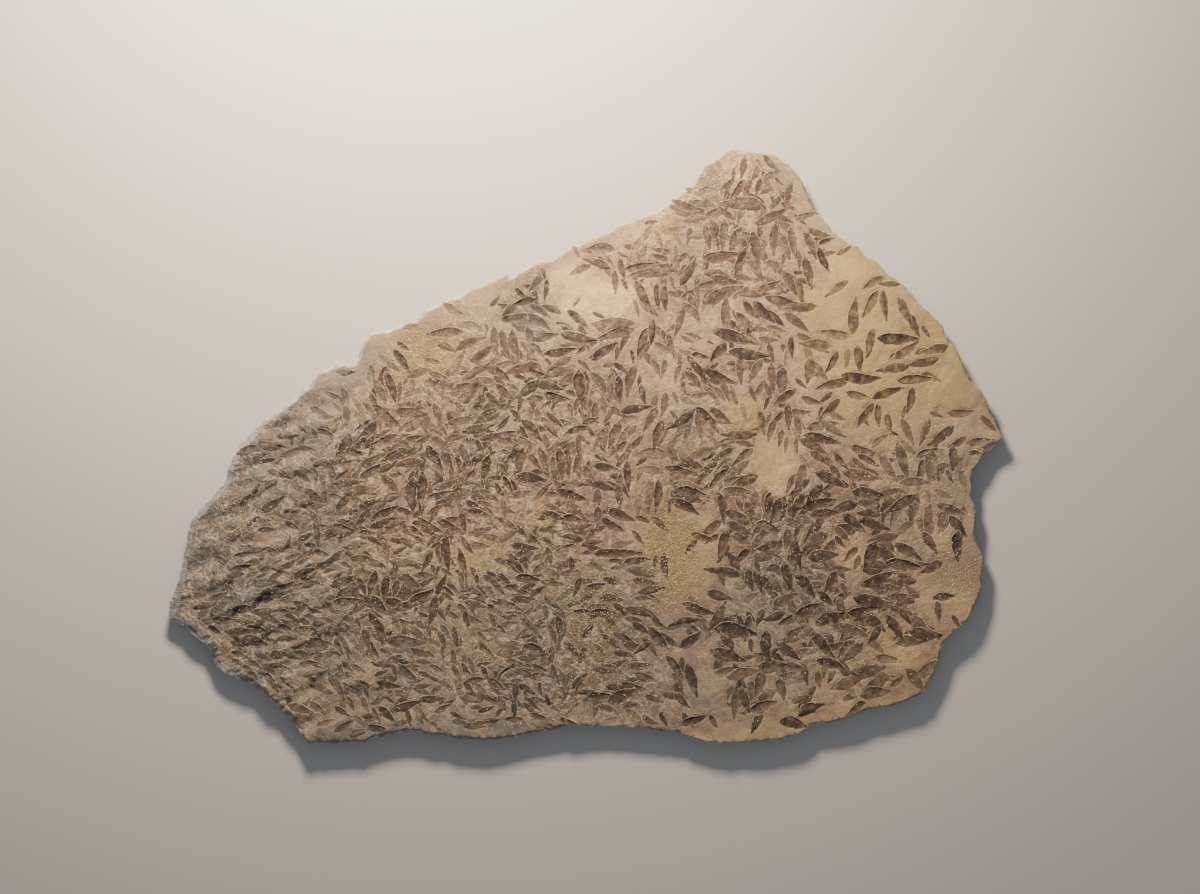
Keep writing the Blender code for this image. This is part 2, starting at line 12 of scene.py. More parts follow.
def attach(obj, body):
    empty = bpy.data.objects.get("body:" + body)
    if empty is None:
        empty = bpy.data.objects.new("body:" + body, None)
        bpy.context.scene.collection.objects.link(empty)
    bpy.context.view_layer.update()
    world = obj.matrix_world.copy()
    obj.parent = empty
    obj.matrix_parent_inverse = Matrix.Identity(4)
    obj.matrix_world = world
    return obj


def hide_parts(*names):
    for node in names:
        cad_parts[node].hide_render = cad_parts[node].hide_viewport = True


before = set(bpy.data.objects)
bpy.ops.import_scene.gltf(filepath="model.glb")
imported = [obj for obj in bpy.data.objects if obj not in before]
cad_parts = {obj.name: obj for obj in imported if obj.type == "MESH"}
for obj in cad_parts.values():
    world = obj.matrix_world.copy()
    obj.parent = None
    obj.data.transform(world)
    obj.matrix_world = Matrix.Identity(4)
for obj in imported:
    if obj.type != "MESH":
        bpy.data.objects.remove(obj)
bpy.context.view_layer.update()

mm = 0.001
dice = np.random.default_rng(11)
print("frame loaded")

# corners of the slab's outline, counter-clockwise from the left-hand tip
outline = [
    (-501,-203), (-498,-208.5), (-490,-212), (-481,-215.5), (-474,-223.5), (-463.5,-232), (-455.5,-237.5),
    (-450,-247), (-447,-257), (-440,-267), (-431,-272.5), (-415,-280), (-398.5,-286), (-388.5,-295.5),
    (-378.5,-304.5), (-364,-317.5), (-352.5,-330), (-343.5,-341.5), (-340,-350.5), (-333.5,-357),
    (-318,-357.5), (-299.5,-357), (-281,-355.5), (-264.5,-354.5), (-257,-351.5), (-241,-347.5),
    (-235.5,-346.5), (-224.5,-344), (-213.5,-341.5), (-199,-343.5), (-191.5,-346), (-169.5,-347.5),
    (-160.5,-350.5), (-144,-352), (-122,-353), (-100,-352), (-81.5,-348.5), (-63,-344), (-45,-341),
    (-28.5,-337), (-12,-335.5), (6.5,-337.5), (28.5,-335.5), (50.5,-338), (58,-340), (72.5,-338.5),
    (82,-340.5), (100,-343.5), (112,-342.5), (115.5,-346.5), (127.5,-351), (146,-356), (164.5,-357.5),
    (183,-357), (201,-355), (219.5,-354), (236,-352.5), (250.5,-347.5), (266,-341), (270,-335),
    (283.5,-332.5), (300,-330.5), (315,-326), (328,-320), (339,-316), (350,-315), (364.5,-313), (381,-308),
    (392,-302.5), (401.5,-298.5), (410,-289.5), (416,-278.5), (420.5,-267.5), (426,-256.5), (427,-245.5),
    (430,-238), (433.5,-232.5), (440,-227), (447.5,-218), (458.5,-209.5), (464,-201.5), (468.5,-191.5),
    (473,-181), (476,-168.5), (477,-159), (478,-149), (478,-135), (475,-129), (470.5,-118.5), (467.5,-110.5),
    (466.5,-103.5), (468.5,-95.5), (469.5,-80), (467.5,-70.5), (463.5,-59.5), (465,-48.5), (463,-39),
    (466,-29), (472,-21), (477,-12.5), (486,-4.5), (495.5,4), (500.5,9.5), (501,12), (498.5,16), (494.5,22),
    (490,33), (486,41), (484,53), (478.5,62), (473,69.5), (463.5,78), (458,90), (451,104.5), (447.5,113.5),
    (443,120), (436.5,125.5), (432.5,135.5), (429,145), (421.5,153), (410.5,164), (401.5,170.5), (396,178),
    (390.5,186), (381,195), (372,202), (363,206.5), (355.5,215.5), (348,223), (337.5,228), (326.5,241),
    (314.5,245.5), (302.5,253), (295,261), (286,273), (275,282.5), (270.5,294.5), (265,308), (258.5,322),
    (251,331), (243,340), (233,345.5), (228,350), (220,352), (201.5,353), (196,354.5), (185,355.5),
    (175,357.5), (168.5,354.5), (161,348.5), (154,341), (144.5,338.5), (138,330), (134.5,322), (131,314.5),
    (120.5,308), (110.5,300), (100.5,293.5), (93.5,287), (78,280), (63.5,274), (53.5,269), (45,268),
    (37.5,263), (23,255.5), (8.5,249.5), (-3,244.5), (-14,240), (-21,238), (-30.5,231.5), (-39.5,224.5),
    (-50.5,221.5), (-63.5,219), (-74.5,212.5), (-88,202), (-95.5,207.5), (-109.5,201), (-120.5,196),
    (-139,189), (-150,181.5), (-169.5,174.5), (-184,167.5), (-192.5,163), (-199,155.5), (-209,148),
    (-219,146.5), (-237.5,139), (-250,138.5), (-257.5,135.5), (-263,129), (-269.5,122.5), (-271.5,114.5),
    (-273,107), (-278,98), (-290.5,99.5), (-300,97.5), (-311,92.5), (-320,89.5), (-329,81.5), (-331,74),
    (-342,65.5), (-349.5,57.5), (-358.5,49), (-369.5,41.5), (-380.5,35.5), (-392,26), (-399,18), (-408,9),
    (-415,4.5), (-420.5,-5), (-426,-17.5), (-430.5,-30.5), (-432.5,-40.5), (-441,-52.5), (-450,-61),
    (-461,-73), (-474,-87.5), (-477.5,-100.5), (-479,-113), (-482,-129.5), (-486.5,-148), (-490.5,-166.5),
    (-493,-174), (-498.5,-181.5), (-500.5,-192),
]

# the shoal by the colour of its films: snout x, y, tail x, y and, for the deepest fish, their height
shoal = {
    "midBrown": [
        (216,287,160,291), (203,268,243,287), (200,258,208,214), (188,256,213,241), (167,273,164,234),
        (152,272,159,239), (178,259,173,234), (104,296,142,284), (214,322,234,331), (209,322,204,302),
        (199,320,190,302), (190,320,175,300), (228,279,248,270), (247,316,242,290), (302,231,317,240),
        (246,262,250,232), (262,256,276,226), (176,305,168,284), (222,303,226,292), (160,264,176,268),
        (186,262,178,238), (235,292,252,285), (205,345,212,334), (141,226,186,231), (129,230,122,204),
        (114,194,132,226), (143,209,174,203), (141,172,189,192), (196,190,160,184), (216,180,256,172),
        (277,169,238,166), (238,210,253,183), (219,203,240,185), (174,132,206,124), (169,178,166,144),
        (181,160,200,142), (194,132,200,150), (116,170,107,134), (118,171,137,150), (124,182,133,161),
        (240,160,267,139), (208,130,230,128), (112,116,129,112), (206,188,232,199), (224,140,234,131),
        (220,124,225,104), (163,78,172,56), (174,68,183,50), (212,104,196,78), (146,127,154,123),
        (114,97,108,78), (120,90,138,70), (142,72,158,56), (252,82,264,71), (100,135,106,110),
        (138,130,120,136), (152,203,184,196), (46,213,86,221), (100,207,52,205), (43,201,50,187),
        (60,199,80,161), (86,195,88,167), (93,194,96,165), (35,210,36,186), (29,214,-2,225), (24,228,32,219),
        (34,237,2,237), (59,148,12,149), (58,141,14,129), (9,161,24,153), (84,124,103,112), (33,88,31,56),
        (92,140,98,124), (96,104,92,84), (263,228,271,189,11), (314,199,289,181), (357,204,334,191),
        (320,134,325,180,13), (350,186,333,156), (357,188,361,152), (376,178,390,148), (390,158,400,134),
        (318,133,279,139), (296,121,257,124), (345,141,338,108), (434,121,404,114), (370,106,399,126),
        (424,106,385,98), (374,79,418,82), (318,80,276,69), (314,65,340,59), (392,70,386,42),
        (271,106,266,78,14), (326,121,330,90), (345,52,326,24), (351,50,352,26), (281,33,312,12),
        (474,37,492,20), (380,33,393,4), (398,-12,426,-4), (416,-3,414,-42,16), (441,0,441,-28),
        (434,-28,441,-42), (318,0,350,-9), (378,-44,412,-43), (422,-70,454,-81), (404,-104,420,-126),
        (427,-138,404,-150), (344,0,362,14), (436,41,464,43), (362,40,366,16), (330,38,340,26),
        (404,88,424,80), (396,112,414,118), (268,124,290,114), (276,100,290,80), (358,-10,366,-24),
        (320,-14,336,-26), (296,-22,306,-44), (416,-6,424,-40), (372,-60,396,-70), (305,-213,340,-228),
        (290,-242,311,-236), (332,-236,310,-256), (316,-270,360,-264), (300,-290,332,-278),
        (394,-186,364,-180), (422,-186,424,-208), (440,-203,450,-216), (372,-236,408,-234),
        (334,-306,316,-320), (330,-299,366,-294), (386,-268,404,-292), (400,-276,420,-258),
        (372,-192,398,-178), (262,-20,252,-50), (226,-190,252,-177), (170,-277,208,-268), (182,-288,178,-326),
        (212,-270,204,-298), (198,-316,228,-306), (250,-252,272,-244), (268,-238,292,-228),
        (322,-233,304,-252), (338,-228,356,-246), (205,-54,200,-80), (193,-66,200,-92), (244,-62,246,-84),
        (210,-104,230,-96), (298,-112,284,-128), (304,-182,310,-206), (256,-146,276,-156),
        (242,-178,252,-196), (214,-196,206,-214), (134,42,139,8), (140,34,160,17), (150,47,171,32),
        (178,8,156,3), (152,-1,121,-14), (177,-3,150,-19), (196,-16,165,-41), (188,-22,160,-46),
        (152,-28,135,-37), (168,-51,198,-54), (258,9,288,-8), (228,30,220,8), (241,12,239,-6),
        (266,22,302,28), (246,44,268,42), (102,8,104,-18), (170,-28,148,-50), (182,-64,200,-80),
        (260,60,282,52), (114,60,132,52), (104,66,110,52), (160,50,152,66), (126,60,146,64), (96,64,92,40),
        (205,62,214,80), (-98,12,-60,1), (-76,-2,-80,-36), (-81,-42,-49,-47), (-20,8,-44,-4), (12,52,10,28),
        (26,23,10,-3), (40,30,28,-2), (60,25,38,2), (54,4,50,-14), (86,47,70,19), (92,31,82,-2),
        (-20,-62,0,-88), (-54,98,-98,87), (-17,107,-46,90), (-14,93,-52,83), (-48,106,-40,96),
        (-102,140,-91,108), (-88,140,-80,104), (-70,144,-62,108), (-20,52,-16,34), (-8,46,2,28),
        (20,60,24,40), (30,48,50,36), (-10,14,4,4), (-50,28,-34,12), (-100,-62,-96,-84), (-104,-20,-94,-32),
        (-66,-44,-46,-56), (-106,-113,-84,-102), (38,-130,70,-129), (18,-181,44,-184), (-106,-240,-82,-242),
        (85,-130,83,-148), (58,-160,84,-164), (10,-178,-8,-188), (4,-140,22,-148), (-56,-100,-36,-96),
        (-16,-98,6,-94), (4,-104,26,-94), (-44,-214,-36,-236), (40,-286,72,-291), (52,-262,80,-262),
        (72,-300,92,-306), (60,-272,84,-280), (-2,-280,-12,-300), (-70,-302,-56,-316), (24,-262,44,-272),
        (34,-246,56,-252), (-238,103,-224,91), (-147,138,-190,135), (-156,116,-120,131), (-138,103,-111,122),
        (-148,80,-114,101), (-254,80,-240,54), (-212,85,-186,92), (-188,90,-164,80), (-182,79,-154,70),
        (-158,70,-126,73), (-170,61,-158,52), (-258,64,-250,46), (-255,50,-222,23), (-190,38,-240,45),
        (-203,44,-172,14), (-206,3,-186,15), (-184,12,-161,-8), (-165,42,-160,26), (-136,34,-166,28),
        (-167,10,-146,13), (-155,-8,-152,-26), (-196,-17,-230,-22), (-302,-44,-270,-42), (-241,-62,-228,-56),
        (-181,-50,-155,-40), (-172,-61,-129,-53), (-243,-114,-238,-140), (-236,-137,-196,-141),
        (-150,-150,-146,-170), (-240,-232,-192,-235), (-211,-216,-190,-233), (-122,-220,-104,-220),
        (-270,-206,-258,-198), (-281,-134,-249,-138), (-222,-110,-206,-122), (-282,-115,-264,-116),
        (-301,-186,-270,-184), (-240,-96,-218,-90), (-156,-66,-142,-76), (-122,-106,-100,-112),
        (-140,-106,-122,-98), (-178,-106,-190,-120), (-198,-244,-182,-252), (-232,8,-214,14),
        (-204,-18,-216,-30), (-222,78,-224,56), (-110,84,-96,72), (-353,-240,-334,-232),
        (-386,-272,-370,-292), (-338,-275,-314,-270), (-330,-285,-306,-295), (-356,-310,-330,-318),
        (-410,-126,-382,-121), (-421,-131,-400,-129), (-449,-166,-446,-150), (-389,-50,-369,-39),
        (-381,-28,-362,-35), (-372,-20,-364,-14), (-349,-2,-326,-4), (-394,3,-362,0), (-370,12,-346,13),
        (-346,26,-335,17), (-306,-94,-280,-100), (-257,-308,-240,-299), (-204,-310,-190,-328),
        (-175,-281,-160,-291), (-148,-260,-139,-272), (-300,-340,-279,-328), (-214,-316,-210,-334),
        (-452,-186,-430,-176), (-446,-206,-420,-208), (-386,-214,-364,-222), (-360,-200,-344,-210),
        (-352,-222,-330,-216), (-326,-252,-300,-246), (-360,-250,-340,-256), (-396,-246,-376,-256),
        (-424,-246,-404,-254), (-344,-262,-322,-260), (-366,-276,-350,-290), (-380,-262,-362,-264),
        (-410,-262,-396,-274), (-330,-306,-314,-318), (-322,-334,-304,-328), (-420,-208,-398,-210),
        (-366,-184,-344,-176), (-376,-146,-356,-152), (-340,-170,-322,-162), (-350,-186,-330,-194),
        (-426,-148,-402,-142), (-446,-132,-428,-142), (-360,-90,-344,-100), (-330,-74,-312,-70),
        (-350,-66,-334,-74), (-414,-74,-402,-58), (-406,-96,-392,-84), (-322,20,-304,14), (-318,-2,-304,6),
        (-310,-18,-300,-34), (-160,-262,-150,-280), (-186,-262,-170,-270), (-206,-290,-186,-286),
        (-136,-334,-118,-330), (-238,-258,-220,-250), (-216,-298,-236,-294), (-186,-330,-174,-340),
        (-104,-300,-96,-316),
    ],
    "darkBrown": [
        (253,273,274,281), (280,243,297,250), (202,174,226,150), (152,139,200,125), (217,163,238,144),
        (247,132,248,108), (168,124,151,104,12), (172,115,220,109), (127,103,144,80), (141,94,182,76),
        (251,66,228,51), (128,111,146,107), (8,104,38,124), (74,142,63,106), (80,152,78,124), (40,84,42,54),
        (30,122,6,108), (34,100,50,88), (54,116,57,101), (280,238,292,211), (350,130,400,129),
        (307,86,354,83), (344,58,382,70), (302,113,288,90), (304,56,282,34), (262,14,306,4), (299,-8,314,-26),
        (276,-31,311,-49), (396,-58,360,-79), (326,-68,296,-77), (310,-82,332,-97), (328,-87,364,-99),
        (438,-84,456,-106), (447,-102,447,-137), (348,-114,334,-149,16), (331,-167,370,-150), (366,18,376,14),
        (284,48,282,30), (322,-181,366,-188), (316,-200,350,-193), (276,-214,312,-200), (273,-222,298,-252),
        (278,-257,312,-268), (361,-203,381,-232), (388,-221,428,-226), (418,-182,442,-179),
        (280,-174,296,-190), (256,-322,284,-309), (378,-194,390,-212), (262,-56,249,-84),
        (283,-46,266,-68,12), (251,-112,258,-144), (253,-154,274,-180), (238,-199,216,-207),
        (203,-150,211,-173), (238,-138,247,-174), (196,-124,181,-138), (155,-219,206,-226),
        (109,-210,136,-207), (150,-244,192,-257), (212,-232,222,-257), (230,-236,256,-255),
        (187,-290,196,-317), (212,-322,200,-342), (116,-333,144,-323), (222,-56,220,-84), (233,-62,222,-94),
        (238,-60,234,-86), (168,-80,192,-85), (270,-82,302,-79), (284,-84,276,-104), (131,45,97,21),
        (132,46,156,27), (206,-36,177,-45), (158,-20,140,-28), (96,-24,132,-31), (102,-64,135,-81),
        (238,42,223,28), (112,-20,134,-34), (-76,32,-53,7), (-106,14,-86,18), (-68,-10,-54,-26),
        (-82,-34,-48,-40), (-98,-36,-88,-54), (-22,17,2,24), (-4,26,14,34), (48,6,31,-9), (50,-18,52,-53),
        (42,41,78,48), (11,-9,20,-16), (-34,-52,4,-64), (-60,-62,-44,-46), (-50,-80,-28,-86), (26,-77,58,-88),
        (20,-87,46,-101), (87,-40,84,-78), (-8,92,-6,52,14), (-50,112,-12,118), (-84,-138,-74,-152),
        (-84,-157,-52,-162), (-18,-132,-15,-152), (-6,-158,-14,-178), (28,-137,42,-136), (64,-174,94,-170),
        (0,-171,22,-165), (4,-202,34,-200), (76,-217,98,-241), (22,-158,42,-164), (-4,-112,-28,-108),
        (-48,-298,-42,-312), (78,-236,60,-248), (20,-226,36,-240), (-240,89,-228,54), (-284,15,-295,-19,14),
        (-264,11,-283,-6), (-126,9,-98,16), (-256,-86,-226,-72), (-196,-30,-199,-78), (-140,-76,-118,-82),
        (-188,-80,-172,-70), (-178,-87,-156,-96), (-258,-98,-228,-86), (-108,-44,-98,-60),
        (-168,-106,-164,-148), (-118,-149,-102,-161), (-252,-150,-260,-178,10), (-238,-156,-242,-184,11),
        (-273,-158,-264,-178), (-256,-180,-240,-196,10), (-242,-186,-222,-186,9), (-228,-195,-200,-188,10),
        (-212,-186,-184,-172,10), (-260,-198,-240,-229), (-262,-108,-246,-118), (-212,-96,-196,-106),
        (-390,-176,-352,-165), (-400,-194,-388,-176), (-470,-194,-440,-187), (-413,-230,-381,-238),
        (-432,-221,-400,-220), (-370,-213,-352,-219), (-400,-199,-370,-197), (-389,-78,-364,-61),
        (-252,-292,-238,-286), (-250,-282,-224,-287), (-232,-315,-198,-305), (-247,-312,-230,-328),
        (-198,-303,-172,-302), (-124,-264,-117,-280), (-452,-214,-438,-224),
    ],
    "purpleBrown": [
        (228,267,226,230), (214,349,231,332), (268,262,292,254), (192,238,178,202), (223,100,226,66),
        (60,98,50,60), (458,5,490,8), (352,-10,374,-42), (308,-30,352,-38), (413,-70,408,-98),
        (430,-78,424,-102), (375,-106,340,-112), (328,-10,350,-22), (390,-206,412,-224,16),
        (290,-104,262,-122), (252,-202,284,-188,14), (200,-137,234,-126,12), (300,-150,288,-172),
        (282,-138,296,-154), (170,-92,196,-104), (206,-92,232,-104), (240,-88,262,-96), (176,-106,196,-116),
        (244,-100,240,-124), (300,-96,316,-112), (288,-196,268,-204), (260,-214,280,-228), (206,16,162,15,11),
        (243,50,244,22), (252,36,256,12), (236,20,232,2), (222,60,214,78), (-38,-8,-36,-46), (-32,-2,-28,-40),
        (-22,0,-20,-38), (42,-32,42,-50), (39,-46,42,-72), (-50,-66,-30,-76), (-65,124,-51,108),
        (-66,170,-44,156), (-68,158,-44,142), (0,60,-2,40), (-2,-22,10,-40), (-6,-8,-14,-30),
        (-56,-2,-46,-30), (60,-84,78,-92), (-90,-60,-66,-54), (-28,-66,-8,-72), (-30,-152,-10,-148),
        (-12,-118,-36,-126), (-50,-140,-64,-152), (-60,-164,-78,-170), (-100,-278,-64,-268), (-224,13,-256,3),
        (-126,-52,-106,-64), (-266,-218,-262,-246), (-130,-66,-112,-72), (-286,-224,-272,-240),
        (-292,-204,-272,-210), (-308,-272,-290,-302), (-322,-86,-320,-122), (-291,-257,-280,-268),
        (-432,-166,-418,-182), (-320,-206,-298,-212), (-300,-222,-286,-236), (-344,-112,-326,-104),
        (-360,30,-364,14),
    ],
    "greyOlive": [
        (185,107,187,76), (237,94,236,62,14), (176,206,200,199), (80,106,90,84), (7,90,30,62),
        (376,195,354,195), (404,145,413,131), (388,97,348,91), (412,34,401,2), (374,4,387,-39),
        (398,-56,390,-96), (414,42,428,36), (344,-168,382,-171), (221,-152,236,-176), (244,-130,252,-150),
        (134,-203,150,-217), (238,-262,262,-266), (233,-278,238,-302), (262,-262,266,-284), (216,-52,217,-88),
        (248,-306,268,-300), (276,-288,264,-300), (129,42,120,5), (126,38,106,8), (200,-3,176,-24),
        (102,-45,140,-50), (209,43,214,16), (252,10,254,-8), (270,-6,288,-20), (-30,-140,-34,-158),
        (52,-146,82,-156), (-78,-204,-52,-231), (-46,-120,-42,-142), (60,-180,80,-184), (10,-236,24,-252),
        (-20,-236,-8,-252), (-62,-216,-48,-206), (-18,-270,-22,-284), (-40,-262,-32,-284), (14,-312,36,-316),
        (48,-316,66,-326), (-64,-262,-44,-270), (-132,52,-112,66), (-261,90,-259,78), (-298,90,-278,90),
        (-288,50,-286,24), (-150,3,-138,-25), (-291,-56,-251,-50), (-144,-186,-120,-192),
        (-120,-168,-108,-184), (-158,-216,-154,-240), (-176,-222,-168,-240), (-128,-236,-112,-250),
        (-292,70,-284,50), (-263,-177,-191,-173,40), (-336,-231,-306,-236), (-417,-8,-386,0),
        (-282,-262,-265,-270), (-277,-281,-258,-286), (-300,-312,-284,-322), (-286,-300,-278,-316),
        (-318,-176,-302,-168), (-338,-52,-320,-60), (-344,-24,-326,-34), (-404,-38,-390,-46),
        (-330,48,-312,40), (-312,66,-296,60), (-150,-300,-128,-306), (-268,-300,-260,-318),
        (-180,-318,-164,-310), (-230,-334,-212,-330), (-282,-346,-262,-340),
    ],
    "darkOlive": [
        (-30,136,14,128), (-21,163,4,141), (-7,178,-14,168), (67,74,72,52), (442,25,411,2), (320,-54,360,-60),
        (371,-116,403,-136,12), (360,-140,402,-145), (338,-27,354,-38), (354,-216,340,-235),
        (260,-74,302,-64), (268,-134,302,-130), (212,-156,224,-179), (188,-154,142,-147,11),
        (171,-118,159,-138), (133,-112,121,-127), (128,-104,150,-110), (197,-204,192,-222),
        (117,-188,154,-200), (113,-240,137,-223), (208,-264,242,-262), (122,-260,134,-300),
        (98,-252,116,-276), (150,-322,158,-336), (108,-296,124,-312), (106,-52,148,-60), (102,-57,142,-67),
        (-82,-2,-97,-20), (-46,40,-28,24), (10,-22,36,-26), (2,-40,36,-52), (14,-72,14,-96),
        (-57,80,-84,60,12), (-60,76,-28,69), (-50,64,-20,58), (-100,152,-70,159), (-62,178,-86,171),
        (-46,200,-49,178), (-84,190,-70,176), (-90,44,-76,30), (-88,60,-96,46), (-30,62,-40,46),
        (-88,-118,-58,-122), (-84,-130,-64,-124), (-68,-104,-54,-118), (-90,-166,-68,-176), (9,-128,50,-124),
        (46,-141,76,-136), (48,-193,78,-203), (22,-200,36,-214), (-33,-204,-32,-228), (-74,-238,-46,-250),
        (8,-214,-4,-230), (-86,-304,-86,-326), (4,-299,28,-298), (-80,-286,-62,-296), (-30,-326,-12,-332),
        (90,-318,98,-334), (-230,116,-212,90), (-252,30,-276,6), (-190,1,-172,-26,12), (-147,18,-109,26),
        (-131,8,-122,-8), (-116,-11,-124,-42), (-212,-4,-245,-18), (-272,-23,-245,-9), (-248,-30,-228,-18),
        (-279,-77,-246,-62), (-207,-38,-208,-78,18), (-190,-62,-162,-54), (-170,-168,-158,-178),
        (-180,-179,-188,-214), (-200,-199,-188,-204), (-145,-198,-140,-218), (-246,-243,-232,-249),
        (-220,-154,-198,-170,11), (-200,-168,-184,-158), (-184,-127,-196,-148), (-306,-167,-275,-155),
        (-226,-160,-230,-180,9), (-250,-8,-232,-12), (-128,34,-106,46), (-120,64,-104,50),
        (-226,126,-212,116), (-349,-156,-328,-147), (-329,-147,-312,-139), (-347,-141,-332,-133),
        (-223,-262,-200,-280), (-116,-278,-98,-290), (-262,-336,-238,-340), (-162,-318,-146,-326),
        (-128,-318,-110,-312),
    ],
    "paleTan": [
        (120,271,146,275), (122,309,140,300), (241,116,239,98), (22,138,46,142), (85,258,92,238),
        (66,250,54,228), (-14,240,-8,228), (314,118,312,96), (420,-52,438,-60), (450,-30,456,-52),
        (448,-10,450,-34), (344,-270,368,-280), (350,-252,376,-256), (310,-284,324,-300), (190,-186,206,-176),
        (100,-30,136,-40), (146,14,160,2), (186,52,192,34), (100,-9,57,-11,13), (-32,-44,6,-46),
        (80,-38,75,-80), (-58,48,-56,30), (-30,-300,-50,-290), (-150,148,-122,139), (-169,171,-148,160),
        (-189,70,-187,55), (-146,46,-164,34), (-231,-202,-223,-223), (-216,-240,-206,-256), (-150,60,-134,68),
        (-276,44,-268,24), (-248,110,-232,96), (-218,142,-202,146), (-200,72,-208,50), (-176,76,-172,58),
        (-398,-160,-380,-152), (-436,-68,-420,-62),
    ],
    "redBrown": [
        (229,-114,206,-123), (170,-102,160,-130), (148,-220,168,-186), (234,-330,264,-336), (160,-56,166,-92),
        (-30,-86,-6,-88), (80,-84,98,-100), (-106,74,-87,58), (-14,-197,4,-197), (34,-224,58,-236),
        (57,-212,76,-224), (94,-128,98,-157), (-66,-321,-46,-327), (28,-306,58,-292,14), (-150,-80,-145,-102),
        (-150,-126,-144,-152), (-132,-153,-129,-168), (-140,-170,-124,-180),
    ],
}


def smoothStep(low, high, value):
    t = np.clip((value - low) / (high - low), 0.0, 1.0)
    return t * t * (3.0 - 2.0 * t)


def bell(t):
    return np.exp(-t * t)


def rockNoise(points, lump, seed, octaves=1):
    # soft noise, about -1 to 1, with lumps of the given size
    return np.array([noise.fractal((x / lump, y / lump, seed), 1.0, 2.0, octaves) for x, y in points])


def turned(points, degrees):
    c, s = math.cos(math.radians(degrees)), math.sin(math.radians(degrees))
    return points @ np.array([[c, -s], [s, c]])


def edgeDistance(points, ring):
    # distance to the outline, and where along it (as a corner number)
    best, place = np.full(len(points), np.inf), np.zeros(len(points))
    for i, (a, b) in enumerate(zip(ring, np.roll(ring, -1, axis=0))):
        along = np.clip((points - a) @ (b - a) / ((b - a) @ (b - a)), 0.0, 1.0)
        gap = np.linalg.norm(points - (a + along[:, None] * (b - a)), axis=1)
        nearer = gap < best
        best[nearer], place[nearer] = gap[nearer], i + along[nearer]
    return best, place


def insideRing(points, ring):
    x, y = points.T
    hit = np.zeros(len(points), bool)
    with np.errstate(divide="ignore", invalid="ignore"):
        for (ax, ay), (bx, by) in zip(ring, np.roll(ring, -1, axis=0)):
            hit ^= ((ay > y) != (by > y)) & (x < ax + (y - ay) * (bx - ax) / (by - ay))
    return hit


def gridOver(ring, pitch, indexing="xy"):
    low, high = ring.min(axis=0), ring.max(axis=0)
    return np.stack(np.meshgrid(*map(np.arange, low, high, (pitch, pitch)), indexing=indexing), axis=-1)


def scattered(ring, pitch, shake):
    # points strewn inside the outline: a grid shaken by this share of its pitch
    spots = gridOver(ring, pitch).reshape(-1, 2)
    spots = spots + dice.uniform(-shake, shake, spots.shape) * pitch
    return spots[insideRing(spots, ring)]


def inwardNormals(ring, reach=3):
    chord = np.roll(ring, -reach, axis=0) - np.roll(ring, reach, axis=0)
    return np.stack([-chord[:, 1], chord[:, 0]], axis=1) / np.linalg.norm(chord, axis=1)[:, None]


def joinPlan(points, edges):
    # flat triangulation that keeps the edges, each triangle counter-clockwise from above
    found = delaunay_2d_cdt([Vector(p) for p in points], edges, [], 0, 0.02)
    plan, faces = np.array([tuple(p) for p in found[0]]), np.array([tuple(f) for f in found[2]])
    a, b = plan[faces[:, 1]] - plan[faces[:, 0]], plan[faces[:, 2]] - plan[faces[:, 0]]
    clockwise = a[:, 0] * b[:, 1] < a[:, 1] * b[:, 0]
    faces[clockwise] = faces[clockwise][:, ::-1]
    return plan, faces, [source[0] if source else -1 for source in found[3]]


def numberPoints(source, known, start):
    # point numbers of a flat triangulation: the known ones, then new ones from start, and which are new
    source = np.array(source)
    new = (source < 0) | (source >= len(known))
    number = np.empty(len(source), int)
    number[~new], number[new] = known[source[~new]], start + np.arange(new.sum())
    return number, new


def ringBand(inner, outer):
    # four-sided faces between two rings of point numbers
    return np.stack([inner, outer, np.roll(outer, -1), np.roll(inner, -1)], axis=1).tolist()


def show(thing):
    bpy.context.scene.collection.objects.link(thing)


def makePiece(name, points, faces, layers, material, bakeMap=None, smooth=True):
    # mesh object from millimetre points, with its per-point values, riding on the plate
    mesh = bpy.data.meshes.new(name)
    mesh.from_pydata((np.asarray(points) * mm).tolist(), [], faces)
    for layer, values in layers.items():
        mesh.attributes.new(layer, "FLOAT_VECTOR", "POINT").data.foreach_set("vector", np.ravel(values))
    if bakeMap is not None:
        corners = np.empty(len(mesh.loops), int)
        mesh.loops.foreach_get("vertex_index", corners)
        mesh.uv_layers.new(name="OFBake").data.foreach_set("uv", np.ravel(bakeMap(corners)))
    mesh.polygons.foreach_set("use_smooth", np.broadcast_to(smooth, len(mesh.polygons)).tolist())
    mesh.materials.append(material)
    piece = bpy.data.objects.new(name, mesh)
    show(piece)
    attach(piece, "root")
    print(name, len(mesh.vertices), "points")
    return piece


bedding = {
    "thickness": 22.0,       # usual height of the bedding face
    "swell": 0.8,            # long swells
    "rumple": 1.5,           # rumples of the left end
    "crumple": 2.4,          # the sharper folds on them
    "crinkle": 0.9,          # and the smallest ones
    "rumplePitch": 38.0,
    "rumpleTurn": 25.0,      # degrees they climb to the right
    "grain": 0.45,           # lumps of 28 mm
    "fineGrain": 0.28,       # lumps of 8 mm
    "flake": 0.9,            # thickness of the thin layers that have flaked off
    "flakeSize": 85.0,
    "ceiling": 24.0,         # the face flattens off above this
    "overshoot": 0.9,        # and ends at most this much higher
}

